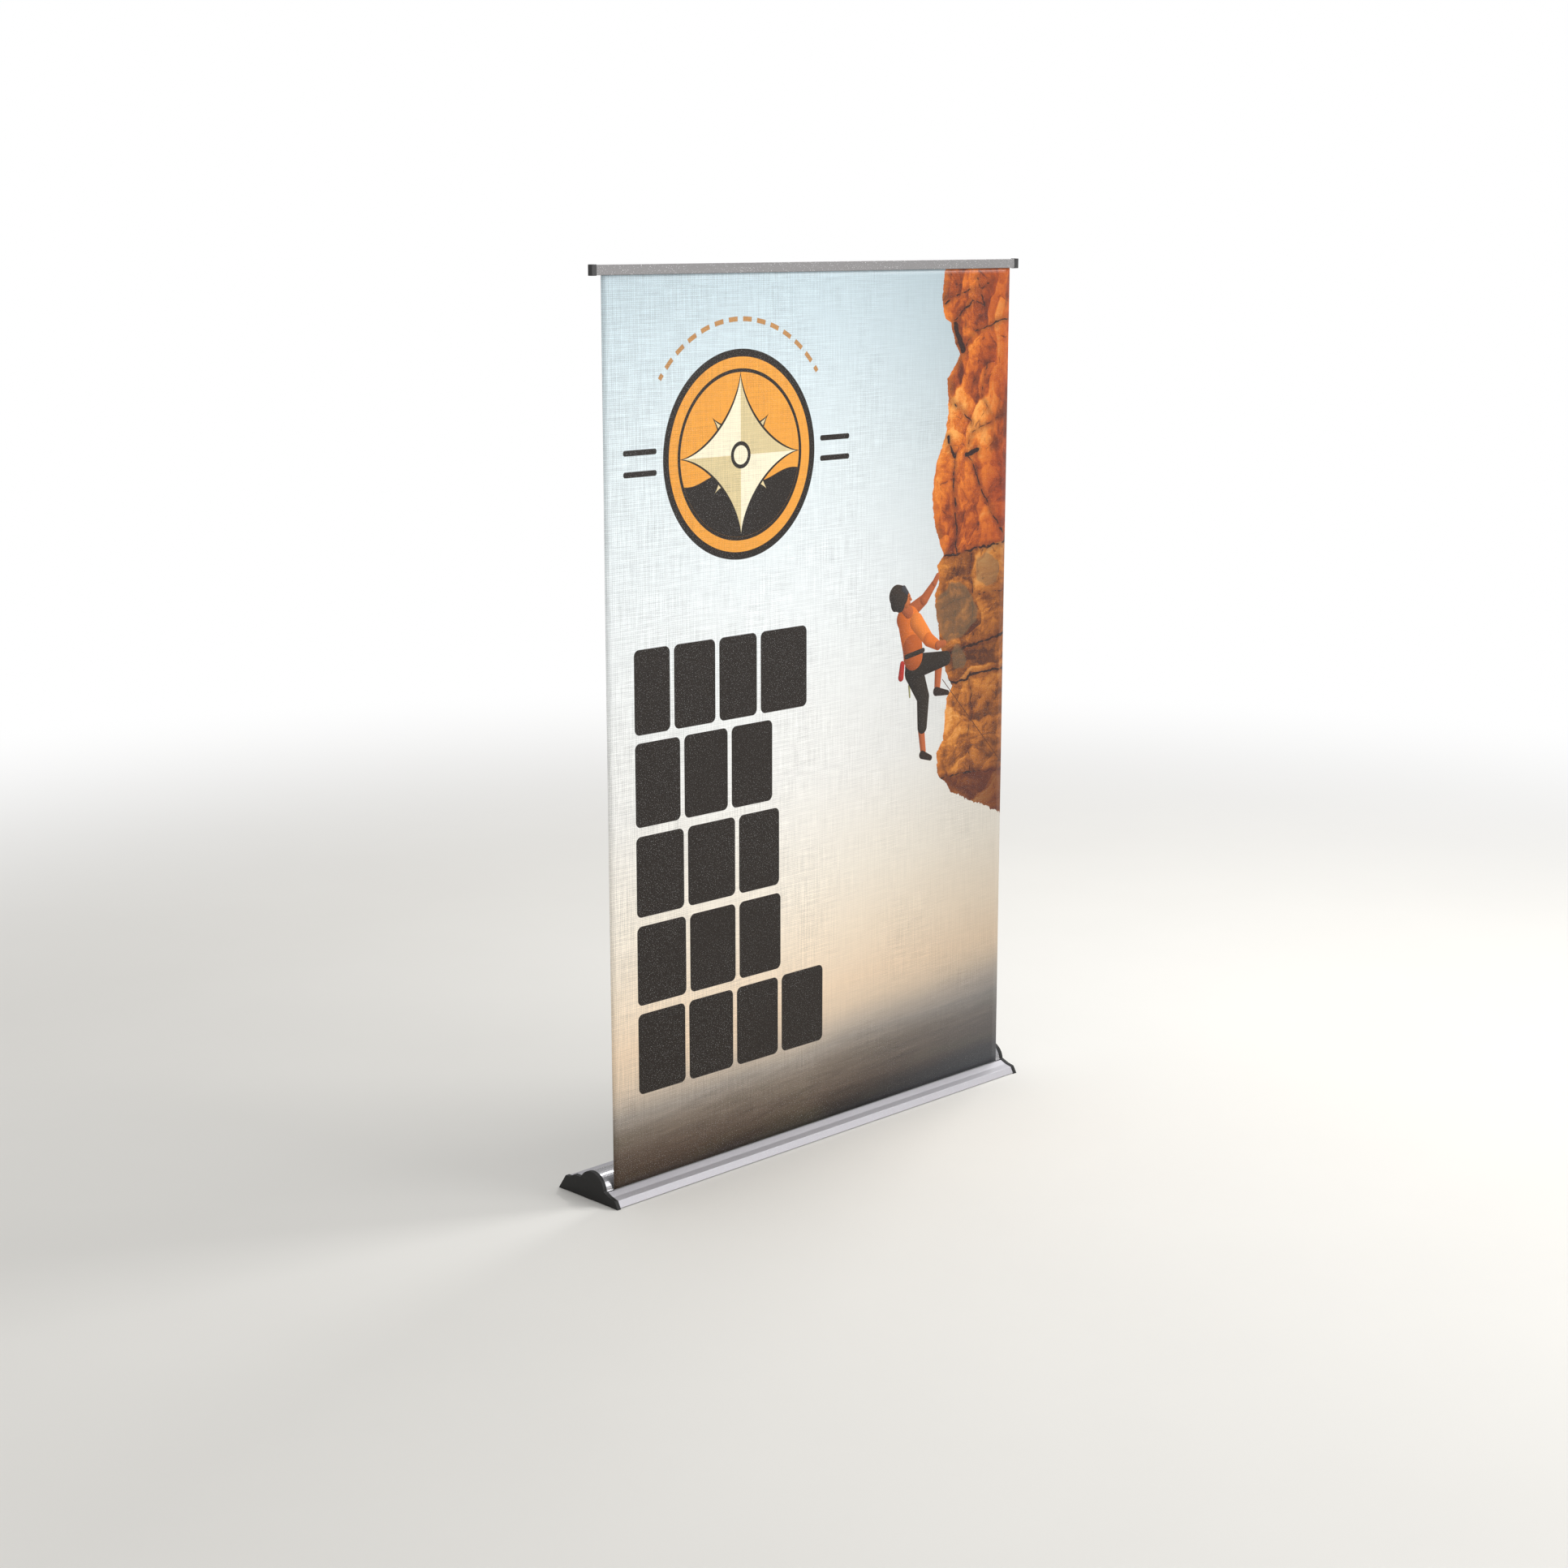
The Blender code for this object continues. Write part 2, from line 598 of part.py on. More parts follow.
def make_roller(roller_axis):
    """The roller tube, its plugs, the banner left on it, and the spring drive inside."""
    bore = PIN_RADIUS + CLEAR
    half = SHEET_WIDTH / 2
    core = tube("roller_tube", ROLLER_RADIUS, ROLLER_BORE, -TUBE_END_X, TUBE_END_X, parent=roller_axis)
    roll = tube("banner_roll", ROLL_RADIUS, ROLLER_RADIUS + CLEAR, -half, half, parent=roller_axis)
    finish(lay_along_x(core), ALUMINIUM)
    finish(lay_along_x(roll), PRINTED_FABRIC)

    body = ROLLER_BORE - CLEAR
    plug = [
        (ROLLER_RADIUS, 0),
        (ROLLER_RADIUS, -PLUG_FLANGE),
        (body, -PLUG_FLANGE),
        (body, -PLUG_DEPTH),
        (bore, -PLUG_DEPTH),
        (bore, 0),
    ]
    pin = [
        (0, PLATE_THICKNESS + SCREW_HEAD_HEIGHT),
        (PIN_HEAD_RADIUS, PLATE_THICKNESS + SCREW_HEAD_HEIGHT),
        (PIN_HEAD_RADIUS, PLATE_THICKNESS + CLEAR),
        (PIN_RADIUS, PLATE_THICKNESS + CLEAR),
    ]
    for side, sign, length in (("left", -1, PIN_LENGTH), ("right", 1, SPINDLE_LENGTH)):
        end_plug = turned(f"roller_plug_{side}", plug, True, (sign * PLUG_END_X, 0, 0), roller_axis)
        end_plug.rotation_euler = (0, sign * math.pi / 2, 0)
        finish(end_plug, PLASTIC_GREY)
        name = "idler_pin" if side == "left" else "spring_spindle"
        shaft = pin + [(PIN_RADIUS, -length), (0, -length)]
        place = (sign * PLATE_INNER_X, HUMP_Y, ROLLER_HEIGHT)
        axle = turned(name, shaft, False, place, None, SMALL_SIDES)
        axle.rotation_euler = (0, sign * math.pi / 2, 0)
        finish(axle, STEEL)

    hub_end = PLUG_END_X - PLUG_DEPTH - SPRING_HUB_GAP
    hub_start = hub_end - SPRING_HUB_LENGTH
    hub = tube("spring_hub", SPRING_HUB_RADIUS, bore, hub_start, hub_end, (0, HUMP_Y, ROLLER_HEIGHT))
    finish(lay_along_x(hub), PLASTIC_GREY)
    spring_end = hub_start - SPRING_WIRE - CLEAR
    make_spring(spring_end - SPRING_LENGTH, spring_end)
    anchor_end = spring_end - SPRING_LENGTH - SPRING_WIRE - CLEAR
    anchor = tube("spring_anchor", body, bore, anchor_end - ANCHOR_LENGTH, anchor_end, parent=roller_axis)
    finish(lay_along_x(anchor), PLASTIC_GREY)


def make_spring(start, end):
    """The torsion spring: a helix about the spindle, of round wire."""
    curve = bpy.data.curves.new("torsion_spring", "CURVE")
    curve.dimensions = "3D"
    curve.bevel_depth = SPRING_WIRE
    curve.bevel_resolution = 2
    curve.use_fill_caps = True
    count = SPRING_TURNS * SPRING_POINTS_PER_TURN
    spline = curve.splines.new("POLY")
    spline.points.add(count)
    for i, point in enumerate(spline.points):
        angle = 2 * math.pi * i / SPRING_POINTS_PER_TURN
        x = start + (end - start) * i / count
        point.co = (x, SPRING_RADIUS * math.cos(angle), SPRING_RADIUS * math.sin(angle), 1)
    spring = add_object("torsion_spring", mesh_of_curve(curve), (0, HUMP_Y, ROLLER_HEIGHT))
    finish(spring, SPRING_STEEL)


# ---------------------------------------------------------------- banner and rail


def make_sheet():
    """The banner from the roll, round the cover's nose and straight up into the rail."""
    nose = Vector((NOSE_Y, NOSE_HEIGHT))
    roll = Vector((HUMP_Y, ROLLER_HEIGHT))
    reach = roll - nose
    roll_turn = ROLL_RADIUS + CLEAR + SHEET_THICKNESS / 2
    slope = math.atan2(reach.y, reach.x)
    slope -= math.asin((roll_turn - SHEET_TURN_RADIUS) / reach.length)
    down = Vector((math.sin(slope), -math.cos(slope)))
    path = [roll + down * roll_turn]
    path += arc(nose, SHEET_TURN_RADIUS, 1.5 * math.pi + slope, math.pi, SHEET_TURN_STEPS)
    path.append(Vector((SHEET_Y, SHEET_TOP)))
    half = SHEET_THICKNESS / 2
    outline = shifted(path, -half, False) + shifted(path, half, False)[::-1]
    sheet = prism("banner_sheet", outline, -SHEET_WIDTH / 2, SHEET_WIDTH / 2)
    return finish(sheet, PRINTED_FABRIC)


def rail_section():
    """The rail's outline: a cavity for the banner's hem in front, a hook channel behind."""
    front = -RAIL_DEPTH / 2
    back = RAIL_DEPTH / 2
    slot = (RAIL_SHEET_Y - RAIL_SLOT / 2, RAIL_SHEET_Y + RAIL_SLOT / 2)
    roof = HOOK_CHANNEL_HEIGHT + RAIL_WALL
    ceiling = RAIL_HEIGHT - RAIL_WALL
    channel = RAIL_DIVIDER_Y + RAIL_WALL
    outside = [
        (back - RAIL_WALL, 0),
        (back, 0),
        (back, RAIL_HEIGHT),
        (front, RAIL_HEIGHT),
        (front, 0),
        (slot[0], 0),
    ]
    inside = [
        (slot[0], RAIL_WALL),
        (front + RAIL_WALL, RAIL_WALL),
        (front + RAIL_WALL, ceiling),
        (back - RAIL_WALL, ceiling),
        (back - RAIL_WALL, roof),
        (RAIL_DIVIDER_Y, roof),
        (RAIL_DIVIDER_Y, RAIL_WALL),
        (slot[1], RAIL_WALL),
        (slot[1], 0),
        (channel, 0),
        (channel, HOOK_CHANNEL_HEIGHT),
        (back - RAIL_WALL, HOOK_CHANNEL_HEIGHT),
    ]
    outside = rounded([Vector(corner) for corner in outside], RAIL_CORNER, False)
    return outside + [Vector(corner) for corner in inside]


def rail_block(grow):
    """The rail's outer rectangle, grown on every side, with rounded corners."""
    y = RAIL_DEPTH / 2 + grow
    corners = [(-y, -grow), (y, -grow), (y, RAIL_HEIGHT + grow), (-y, RAIL_HEIGHT + grow)]
    return rounded([Vector(corner) for corner in corners], RAIL_CORNER, True)


def make_rail(rail_frame):
    """The top rail, its two end caps and the stiff hem that holds the banner in it."""
    rail_end = RAIL_LENGTH / 2 - RAIL_CAP_FACE - CLEAR
    rail = prism("top_rail", rail_section(), -rail_end, rail_end, parent=rail_frame)
    finish(rail, ALUMINIUM)
    outer = RAIL_LENGTH / 2
    for side, sign in (("left", -1), ("right", 1)):
        span = sorted((sign * (outer - RAIL_CAP_DEPTH), sign * outer))
        cap = prism(f"rail_cap_{side}", rail_block(RAIL_CAP_RIM), *span, parent=rail_frame)
        bevel(cap, RAIL_CAP_EDGE)
        pocket_span = sorted((sign * (outer - 2 * RAIL_CAP_DEPTH), sign * (outer - RAIL_CAP_FACE)))
        pocket = prism(f"rail_cap_pocket_{side}", rail_block(CLEAR), *pocket_span, parent=rail_frame)
        boolean(cap, pocket, "DIFFERENCE")
        finish(cap, PLASTIC_BLACK)
    hem_bottom = RAIL_WALL + 2 * CLEAR
    hem_y = HEM_THICKNESS / 2
    hem = [
        (RAIL_SHEET_Y - hem_y, hem_bottom),
        (RAIL_SHEET_Y + hem_y, hem_bottom),
        (RAIL_SHEET_Y + hem_y, hem_bottom + HEM_HEIGHT),
        (RAIL_SHEET_Y - hem_y, hem_bottom + HEM_HEIGHT),
    ]
    strip = prism("banner_hem_strip", hem, -SHEET_WIDTH / 2, SHEET_WIDTH / 2, parent=rail_frame)
    finish(strip, PLASTIC_GREY)


# ---------------------------------------------------------------- pole


def make_tubes(pole_frame):
    for name, radius, start in (
        ("pole_lower_tube", LOWER_RADIUS, 0),
        ("pole_middle_tube", MIDDLE_RADIUS, MIDDLE_START),
        ("pole_top_tube", TOP_RADIUS, TOP_START),
    ):
        section = tube(name, radius, radius - TUBE_WALL, 0, TUBE_LENGTH, (0, 0, start), pole_frame)
        finish(section, ALUMINIUM)
    for name, radius, start in (
        ("middle_tube_plug", MIDDLE_RADIUS, MIDDLE_START),
        ("top_tube_plug", TOP_RADIUS, TOP_START),
    ):
        body = radius - TUBE_WALL - CLEAR
        profile = [
            (0, TUBE_PLUG_LENGTH),
            (body, TUBE_PLUG_LENGTH),
            (body, -CLEAR),
            (radius, -CLEAR),
            (radius, -CLEAR - TUBE_PLUG_FLANGE),
            (0, -CLEAR - TUBE_PLUG_FLANGE),
        ]
        finish(turned(name, profile, False, (0, 0, start), pole_frame), PLASTIC_BLACK)


def make_pole_foot(pole_frame):
    """The plug in the pole's lower end, whose spigot stands in the base's socket."""
    body = LOWER_RADIUS - TUBE_WALL - CLEAR
    flange_bottom = -CLEAR - FOOT_FLANGE
    spigot_bottom = flange_bottom - SPIGOT_LENGTH
    profile = [
        (0, FOOT_PLUG_LENGTH),
        (body, FOOT_PLUG_LENGTH),
        (body, -CLEAR),
        (LOWER_RADIUS, -CLEAR),
        (LOWER_RADIUS, flange_bottom),
        (SPIGOT_RADIUS, flange_bottom),
        (SPIGOT_RADIUS, spigot_bottom),
        (0, spigot_bottom),
    ]
    finish(turned("pole_foot_plug", profile, False, (0, 0, 0), pole_frame), PLASTIC_BLACK)
    bore = SPIGOT_RADIUS + CLEAR
    top = flange_bottom - CLEAR
    floor = CAP_RIM + BASE_WALL + SOCKET_FLOOR_GAP
    bottom = (floor - POLE_FOOT_Z) / math.cos(POLE_LEAN)
    socket = [
        (SOCKET_FLANGE_RADIUS, top),
        (SOCKET_FLANGE_RADIUS, top - SOCKET_FLANGE),
        (SLEEVE_RADIUS, top - SOCKET_FLANGE),
        (SLEEVE_RADIUS, bottom),
        (bore, bottom),
        (bore, top),
    ]
    finish(turned("pole_socket", socket, True, (0, 0, 0), pole_frame), PLASTIC_BLACK)


def pin_bore(name, place, pole_frame):
    """A cutter for the lever pin's hole."""
    radius = LEVER_PIN_RADIUS + CLEAR
    return lay_along_x(rod(name, radius, -CUT_REACH, CUT_REACH, place, pole_frame, SMALL_SIDES))


def make_clamp(level, tube_top, outer_tube, inner_tube, pole_frame):
    """A collar on the end of one tube, with a cam lever behind that grips the next tube."""
    outer = outer_tube + CLEAR + COLLAR_WALL
    low_bore = outer_tube + CLEAR
    high_bore = inner_tube + CLEAR
    profile = [
        (outer - COLLAR_CHAMFER, COLLAR_ABOVE),
        (outer, COLLAR_ABOVE - COLLAR_CHAMFER),
        (outer, COLLAR_CHAMFER - COLLAR_BELOW),
        (outer - COLLAR_CHAMFER, -COLLAR_BELOW),
        (low_bore, -COLLAR_BELOW),
        (low_bore, CLEAR),
        (high_bore, CLEAR),
        (high_bore, COLLAR_ABOVE),
    ]
    collar = turned(f"{level}_clamp_collar", profile, True, (0, 0, tube_top), pole_frame)
    pin_y = outer + CLEAR + LEVER_BOSS
    pin_place = (0, pin_y, tube_top - LEVER_PIN_DROP)
    ear_root = low_bore + EAR_ROOT - pin_y
    ear = [Vector((ear_root, -EAR_RADIUS))]
    ear += arc(Vector((0, 0)), EAR_RADIUS, -math.pi / 2, math.pi / 2, EAR_STEPS)
    ear.append(Vector((ear_root, EAR_RADIUS)))
    ear_inner = LEVER_WIDTH / 2 + CLEAR
    ear_outer = ear_inner + EAR_THICKNESS
    for side, start, end in (("left", -ear_outer, -ear_inner), ("right", ear_inner, ear_outer)):
        boolean(collar, prism(f"{level}_ear_{side}", ear, start, end, pin_place, pole_frame), "UNION")
    boolean(collar, pin_bore(f"{level}_ear_bore", pin_place, pole_frame), "DIFFERENCE")
    finish(collar, PLASTIC_BLACK)

    name = f"{level}_lever_pin"
    pin = rod(name, LEVER_PIN_RADIUS, -ear_outer, ear_outer, pin_place, pole_frame, SMALL_SIDES)
    finish(lay_along_x(pin), STEEL)
    make_lever(level, pin_place, pole_frame)


def make_lever(level, pin_place, pole_frame):
    """The cam lever, closed: it hangs down behind the collar from its pin."""
    back = LEVER_BOSS
    front = LEVER_BOSS - LEVER_THICKNESS
    outline = arc(Vector((0, 0)), LEVER_BOSS, 0, 1.5 * math.pi, LEVER_STEPS)
    outline += [
        Vector((front, -LEVER_BOSS)),
        Vector((front, -LEVER_BEND)),
        Vector((front + LEVER_KICK, -LEVER_LENGTH)),
        Vector((back + LEVER_KICK, -LEVER_LENGTH)),
        Vector((back, -LEVER_BEND)),
    ]
    half = LEVER_WIDTH / 2
    lever = prism(f"{level}_clamp_lever", outline, -half, half, pin_place, pole_frame)
    bevel(lever, LEVER_EDGE)
    boolean(lever, pin_bore(f"{level}_lever_bore", pin_place, pole_frame), "DIFFERENCE")
    finish(lever, PLASTIC_GREY)


def make_pole_head(pole_frame):
    """The plug in the top tube, with the tongue that hooks up into the rail's rear channel."""
    body = TOP_RADIUS - TUBE_WALL - CLEAR
    tongue_front = RAIL_Y + RAIL_DIVIDER_Y + RAIL_WALL + CLEAR
    tongue_back = RAIL_Y + RAIL_DEPTH / 2 - RAIL_WALL - CLEAR
    shoulder = RAIL_BOTTOM - CLEAR
    block_bottom = RAIL_BOTTOM - HEAD_BLOCK_HEIGHT
    outline = [
        (tongue_front, block_bottom + HEAD_FRONT_CUT),
        (POLE_HEAD_Y - TOP_RADIUS, block_bottom),
        (POLE_HEAD_Y + TOP_RADIUS, block_bottom),
        (POLE_HEAD_Y + TOP_RADIUS, RAIL_BOTTOM - HEAD_BACK_CUT),
        (POLE_HEAD_Y + TOP_RADIUS - HEAD_BACK_RUN, shoulder),
        (tongue_back, shoulder),
        (tongue_back, RAIL_BOTTOM + HOOK_CHANNEL_HEIGHT - CLEAR),
        (tongue_front, RAIL_BOTTOM + HOOK_CHANNEL_HEIGHT - CLEAR),
    ]
    head = prism("pole_head", outline, -HEAD_WIDTH / 2, HEAD_WIDTH / 2)
    stem_top = HEAD_DROP - HEAD_BLOCK_HEIGHT / 2
    profile = [
        (0, stem_top),
        (TOP_RADIUS, stem_top),
        (TOP_RADIUS, CLEAR),
        (body, CLEAR),
        (body, -HEAD_PLUG_LENGTH),
        (0, -HEAD_PLUG_LENGTH),
    ]
    stem = turned("pole_head_stem", profile, False, (0, 0, POLE_LENGTH), pole_frame)
    boolean(head, stem, "UNION")
    finish(head, PLASTIC_BLACK)


# ---------------------------------------------------------------- the stand

pole_frame_empty = add_object("pole_frame", None, (0, POLE_FOOT_Y, POLE_FOOT_Z))
pole_frame_empty.rotation_euler = (POLE_LEAN, 0, 0)
roller_axis_empty = add_object("roller_axis", None, (0, HUMP_Y, ROLLER_HEIGHT))
rail_frame_empty = add_object("rail_frame", None, (0, RAIL_Y, RAIL_BOTTOM))

make_base_extrusion(pole_frame_empty)
make_hump_cover()
make_end("left", -1)
make_end("right", 1)
make_rubber_feet()
make_roller(roller_axis_empty)
make_sheet()
make_rail(rail_frame_empty)
make_tubes(pole_frame_empty)
make_pole_foot(pole_frame_empty)
make_clamp("lower", TUBE_LENGTH, LOWER_RADIUS, MIDDLE_RADIUS, pole_frame_empty)
make_clamp("upper", MIDDLE_START + TUBE_LENGTH, MIDDLE_RADIUS, TOP_RADIUS, pole_frame_empty)
make_pole_head(pole_frame_empty)
bpy.context.view_layer.update()
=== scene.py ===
"""The looks of the roll-up banner stand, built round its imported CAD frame.

Metres, +Z up, in the frame's own axes: X along the banner, the printed side faces -Y.
"""
import json
import math

import bmesh
import bpy
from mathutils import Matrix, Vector


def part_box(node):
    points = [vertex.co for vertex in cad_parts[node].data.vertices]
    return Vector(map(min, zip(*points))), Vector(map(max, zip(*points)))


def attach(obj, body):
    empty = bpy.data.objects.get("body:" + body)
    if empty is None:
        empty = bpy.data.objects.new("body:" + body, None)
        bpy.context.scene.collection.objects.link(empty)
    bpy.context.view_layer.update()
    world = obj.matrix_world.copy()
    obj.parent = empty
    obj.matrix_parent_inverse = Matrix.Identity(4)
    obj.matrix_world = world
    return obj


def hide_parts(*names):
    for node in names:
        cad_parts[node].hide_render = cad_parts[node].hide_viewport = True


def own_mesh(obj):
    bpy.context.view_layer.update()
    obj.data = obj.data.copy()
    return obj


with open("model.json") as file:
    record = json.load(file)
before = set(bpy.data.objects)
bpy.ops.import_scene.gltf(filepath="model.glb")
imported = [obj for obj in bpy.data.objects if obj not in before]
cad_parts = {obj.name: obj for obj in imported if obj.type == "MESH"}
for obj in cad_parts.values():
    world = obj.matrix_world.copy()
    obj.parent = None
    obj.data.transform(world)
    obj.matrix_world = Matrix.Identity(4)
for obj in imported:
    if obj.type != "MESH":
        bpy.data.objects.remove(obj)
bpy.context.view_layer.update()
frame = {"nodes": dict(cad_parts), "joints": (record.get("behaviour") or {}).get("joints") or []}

NODES = frame["nodes"]
JOINTS = {joint["name"]: joint for joint in frame["joints"]}

# Cloth
SHEET_THICKNESS = 0.0005
FEED_THICKNESS = 0.0003
SHEET_COLUMNS = 72
SHEET_ROWS = 110
# The columns from here on have a second material, because one material that holds the whole
# picture is too large for Cycles.
PRINT_SPLIT = 46
# The banner's materials are two fronts, then the back and the cut edge twice each.
BACK_SLOT = 2
EDGE_SLOT = 4
EDGE_CURL = 0.0010
CURL_POWER = 8
RIPPLE = 0.0003
RIPPLE_SPREAD = 7.0
RIPPLE_SLANT = 3.0
RIPPLE_WAVES = 4
NOSE_RADIUS = 0.0024
JOIN_GAP = 0.0002
ROLL_TURNS = 7
ROLL_STEPS = 48
ROLL_GAP = 0.00005
ROLL_FILL = 0.8
TURN_STEPS = 8
SHARP_ANGLE = math.radians(40)

# Camera and light
CAMERA_PLACE = (-4.820, -4.786, 2.418)
CAMERA_TURN = (math.radians(77.88), 0.0, math.radians(-44.785))
CAMERA_LENS = 59.91
CAMERA_SENSOR = 36.0
BACKGROUND = (1.0, 1.0, 1.0)
BACKGROUND_STRENGTH = 1.0
ROOM_LIGHT = (0.36, 0.70)
ROOM_LIGHT_RISE = 0.7
FLOOR_RADIUS = 40.0
FLOOR_DROP = 0.0002
FLOOR_FADE = (2.5, 7.0)
FLOOR_TONES = ("E6E4DF", "ECEAE5")
# Each softbox: its place, what it points at, its size in metres and its power in watts.
SOFTBOXES = {
    "top_softbox": ((3.3, -1.6, 4.6), (0.0, 0.0, 0.6), (1.5, 1.5), 95.0),
    "front_softbox": ((2.6, -5.8, 2.4), (-0.2, 0.0, 1.1), (3.6, 2.8), 125.0),
    "hump_light": ((3.1, 0.6, 4.2), (-0.4, 0.0, 0.1), (1.2, 0.5), 45.0),
}


def colour(code):
    """A colour written as six hexadecimal digits, as linear red, green, blue and alpha."""
    parts = [int(code[i : i + 2], 16) / 255 for i in (0, 2, 4)]
    linear = [p / 12.92 if p <= 0.04045 else ((p + 0.055) / 1.055) ** 2.4 for p in parts]
    return (*linear, 1.0)


# ---------------------------------------------------------------- material nodes

EDGE_RADIUS = 0.0004
EDGE_SAMPLES = 4
WEAR_AND_HIGHLIGHT_RADIUS = 0.0008
WEAR_AND_HIGHLIGHT_SAMPLES = 6
# How far the softened normal has turned from the real one, as a cosine: no pale edge and a full pale edge,
# which is wear together with a painted edge highlight.
WEAR_AND_HIGHLIGHT_BEND = (0.985, 0.80)


class Value:
    """A number that a material works out, used with ordinary arithmetic."""

    def __init__(self, look, socket):
        self.look = look
        self.socket = socket

    def __add__(self, other):
        return self.look.calc("ADD", self, other)

    def __sub__(self, other):
        return self.look.calc("SUBTRACT", self, other)

    def __rsub__(self, other):
        return self.look.calc("SUBTRACT", other, self)

    def __mul__(self, other):
        return self.look.calc("MULTIPLY", self, other)

    def __truediv__(self, other):
        return self.look.calc("DIVIDE", self, other)

    __radd__ = __add__
    __rmul__ = __mul__


class Look:
    """A material, with short names for the nodes that it is made of."""

    def __init__(self, name):
        self.material = bpy.data.materials.new(name)
        self.material.use_nodes = True
        self.tree = self.material.node_tree
        self.shader = self.tree.nodes["Principled BSDF"]

    def node(self, kind, inputs=(), **settings):
        made = self.tree.nodes.new("ShaderNode" + kind)
        for key, value in settings.items():
            setattr(made, key, value)
        for socket, value in inputs:
            self.plug(value, made.inputs[socket])
        return made

    def plug(self, value, socket):
        if isinstance(value, Value):
            self.tree.links.new(value.socket, socket)
        else:
            socket.default_value = value

    def set(self, **values):
        """Sets or links the shader's own inputs, named with _ for a space."""
        for key, value in values.items():
            self.plug(value, self.shader.inputs[key.replace("_", " ")])

    def calc(self, operation, *values):
        made = self.node("Math", enumerate(values), operation=operation)
        return Value(self, made.outputs[0])

    def vector(self, operation, *values):
        made = self.node("VectorMath", enumerate(values), operation=operation)
        numbers = ("DISTANCE", "LENGTH", "DOT_PRODUCT")
        return Value(self, made.outputs["Value" if operation in numbers else "Vector"])

    def scaled(self, vector, factor):
        made = self.node("VectorMath", [(0, vector), ("Scale", factor)], operation="SCALE")
        return Value(self, made.outputs["Vector"])

    def place(self):
        """The point on the object, in metres."""
        return Value(self, self.node("TexCoord").outputs["Object"])

    def parts(self, vector):
        made = self.node("SeparateXYZ", [(0, vector)])
        return [Value(self, made.outputs[i]) for i in range(3)]

    def joined(self, x, y, z=0.0):
        return Value(self, self.node("CombineXYZ", [(0, x), (1, y), (2, z)]).outputs[0])

    def channels(self, shade):
        """The red, green and blue of a colour, as numbers."""
        made = self.node("SeparateColor", [(0, shade)])
        return [Value(self, made.outputs[i]) for i in range(3)]

    def noise(self, vector, scale, detail=2.0, roughness=0.5, flat=False):
        size = "2D" if flat else "3D"
        inputs = [("Vector", vector), ("Scale", scale), ("Detail", detail), ("Roughness", roughness)]
        return Value(self, self.node("TexNoise", inputs, noise_dimensions=size).outputs["Fac"])

    def drift(self, vector, scale, amount, flat=False):
        """The vector, pushed about by a coloured noise."""
        size = "2D" if flat else "3D"
        made = self.node("TexNoise", [("Vector", vector), ("Scale", scale)], noise_dimensions=size)
        pushed = self.joined(*self.channels(Value(self, made.outputs["Color"])))
        centred = self.vector("SUBTRACT", pushed, (0.5, 0.5, 0.5))
        return self.vector("ADD", vector, self.scaled(centred, amount))

    def cells(self, vector, feature, flat=True):
        size = "2D" if flat else "3D"
        made = self.node(
            "TexVoronoi", [("Vector", vector), ("Scale", 1.0)], feature=feature, voronoi_dimensions=size
        )
        return Value(self, made.outputs["Distance"])

    def rise(self, value, low, high):
        """0 below low, 1 above high, and smooth in between. With low above high it falls.

        A smooth step clamps by itself, and the node's own clamp would only cost Cycles memory.
        """
        inputs = [(0, value), (1, low), (2, high), (3, 0.0), (4, 1.0)]
        made = self.node("MapRange", inputs, interpolation_type="SMOOTHSTEP", clamp=False)
        return Value(self, made.outputs[0])

    def rise_straight(self, value, low, high):
        """0 below low, 1 above high, and straight in between."""
        inputs = [(0, value), (1, low), (2, high), (3, 0.0), (4, 1.0)]
        return Value(self, self.node("MapRange", inputs, interpolation_type="LINEAR").outputs[0])

    def within(self, gap, size, soft=0.0005):
        """1 where the gap is under the size, with a thin soft edge."""
        return self.rise(gap - size, soft, -soft)

    def ramp(self, value, stops):
        """Colours along a value. The stops are pairs of position and colour code."""
        made = self.node("ValToRGB", [(0, value)])
        band = made.color_ramp
        while len(band.elements) < len(stops):
            band.elements.new(0.5)
        for element, (position, code) in zip(band.elements, stops):
            element.position = position
            element.color = colour(code)
        return Value(self, made.outputs[0])

    def mix(self, factor, first, second, kind="MIX"):
        first = colour(first) if isinstance(first, str) else first
        second = colour(second) if isinstance(second, str) else second
        made = self.node("Mix", data_type="RGBA", blend_type=kind)
        self.plug(factor, made.inputs[0])
        self.plug(first, made.inputs[6])
        self.plug(second, made.inputs[7])
        return Value(self, made.outputs[2])

    def shaded(self, base, amount):
        """The colour with its brightness multiplied by a number."""
        grey = self.node("CombineColor", [(i, amount) for i in range(3)])
        return self.mix(1.0, base, Value(self, grey.outputs[0]), "MULTIPLY")

    def bump(self, height, distance, strength, edge=0.0):
        """A normal from a height, with its sharp edges softened by a radius."""
        inputs = [("Height", height), ("Distance", distance), ("Strength", strength)]
        if edge:
            rounding = self.node("Bevel", [("Radius", edge)], samples=EDGE_SAMPLES)
            inputs.append(("Normal", Value(self, rounding.outputs[0])))
        return Value(self, self.node("Bump", inputs).outputs[0])

    def edge_wear_and_highlight(self):
        """Near 1 on sharp edges and 0 on open faces: worn edges, which also carry a painted edge highlight.
        """
        rounding = self.node("Bevel", [("Radius", WEAR_AND_HIGHLIGHT_RADIUS)], samples=WEAR_AND_HIGHLIGHT_SAMPLES)
        facing = self.node("NewGeometry")
        same = self.vector(
            "DOT_PRODUCT", Value(self, rounding.outputs[0]), Value(self, facing.outputs["Normal"])
        )
        return self.rise(same, *WEAR_AND_HIGHLIGHT_BEND)


# ---------------------------------------------------------------- metal, plastic, rubber

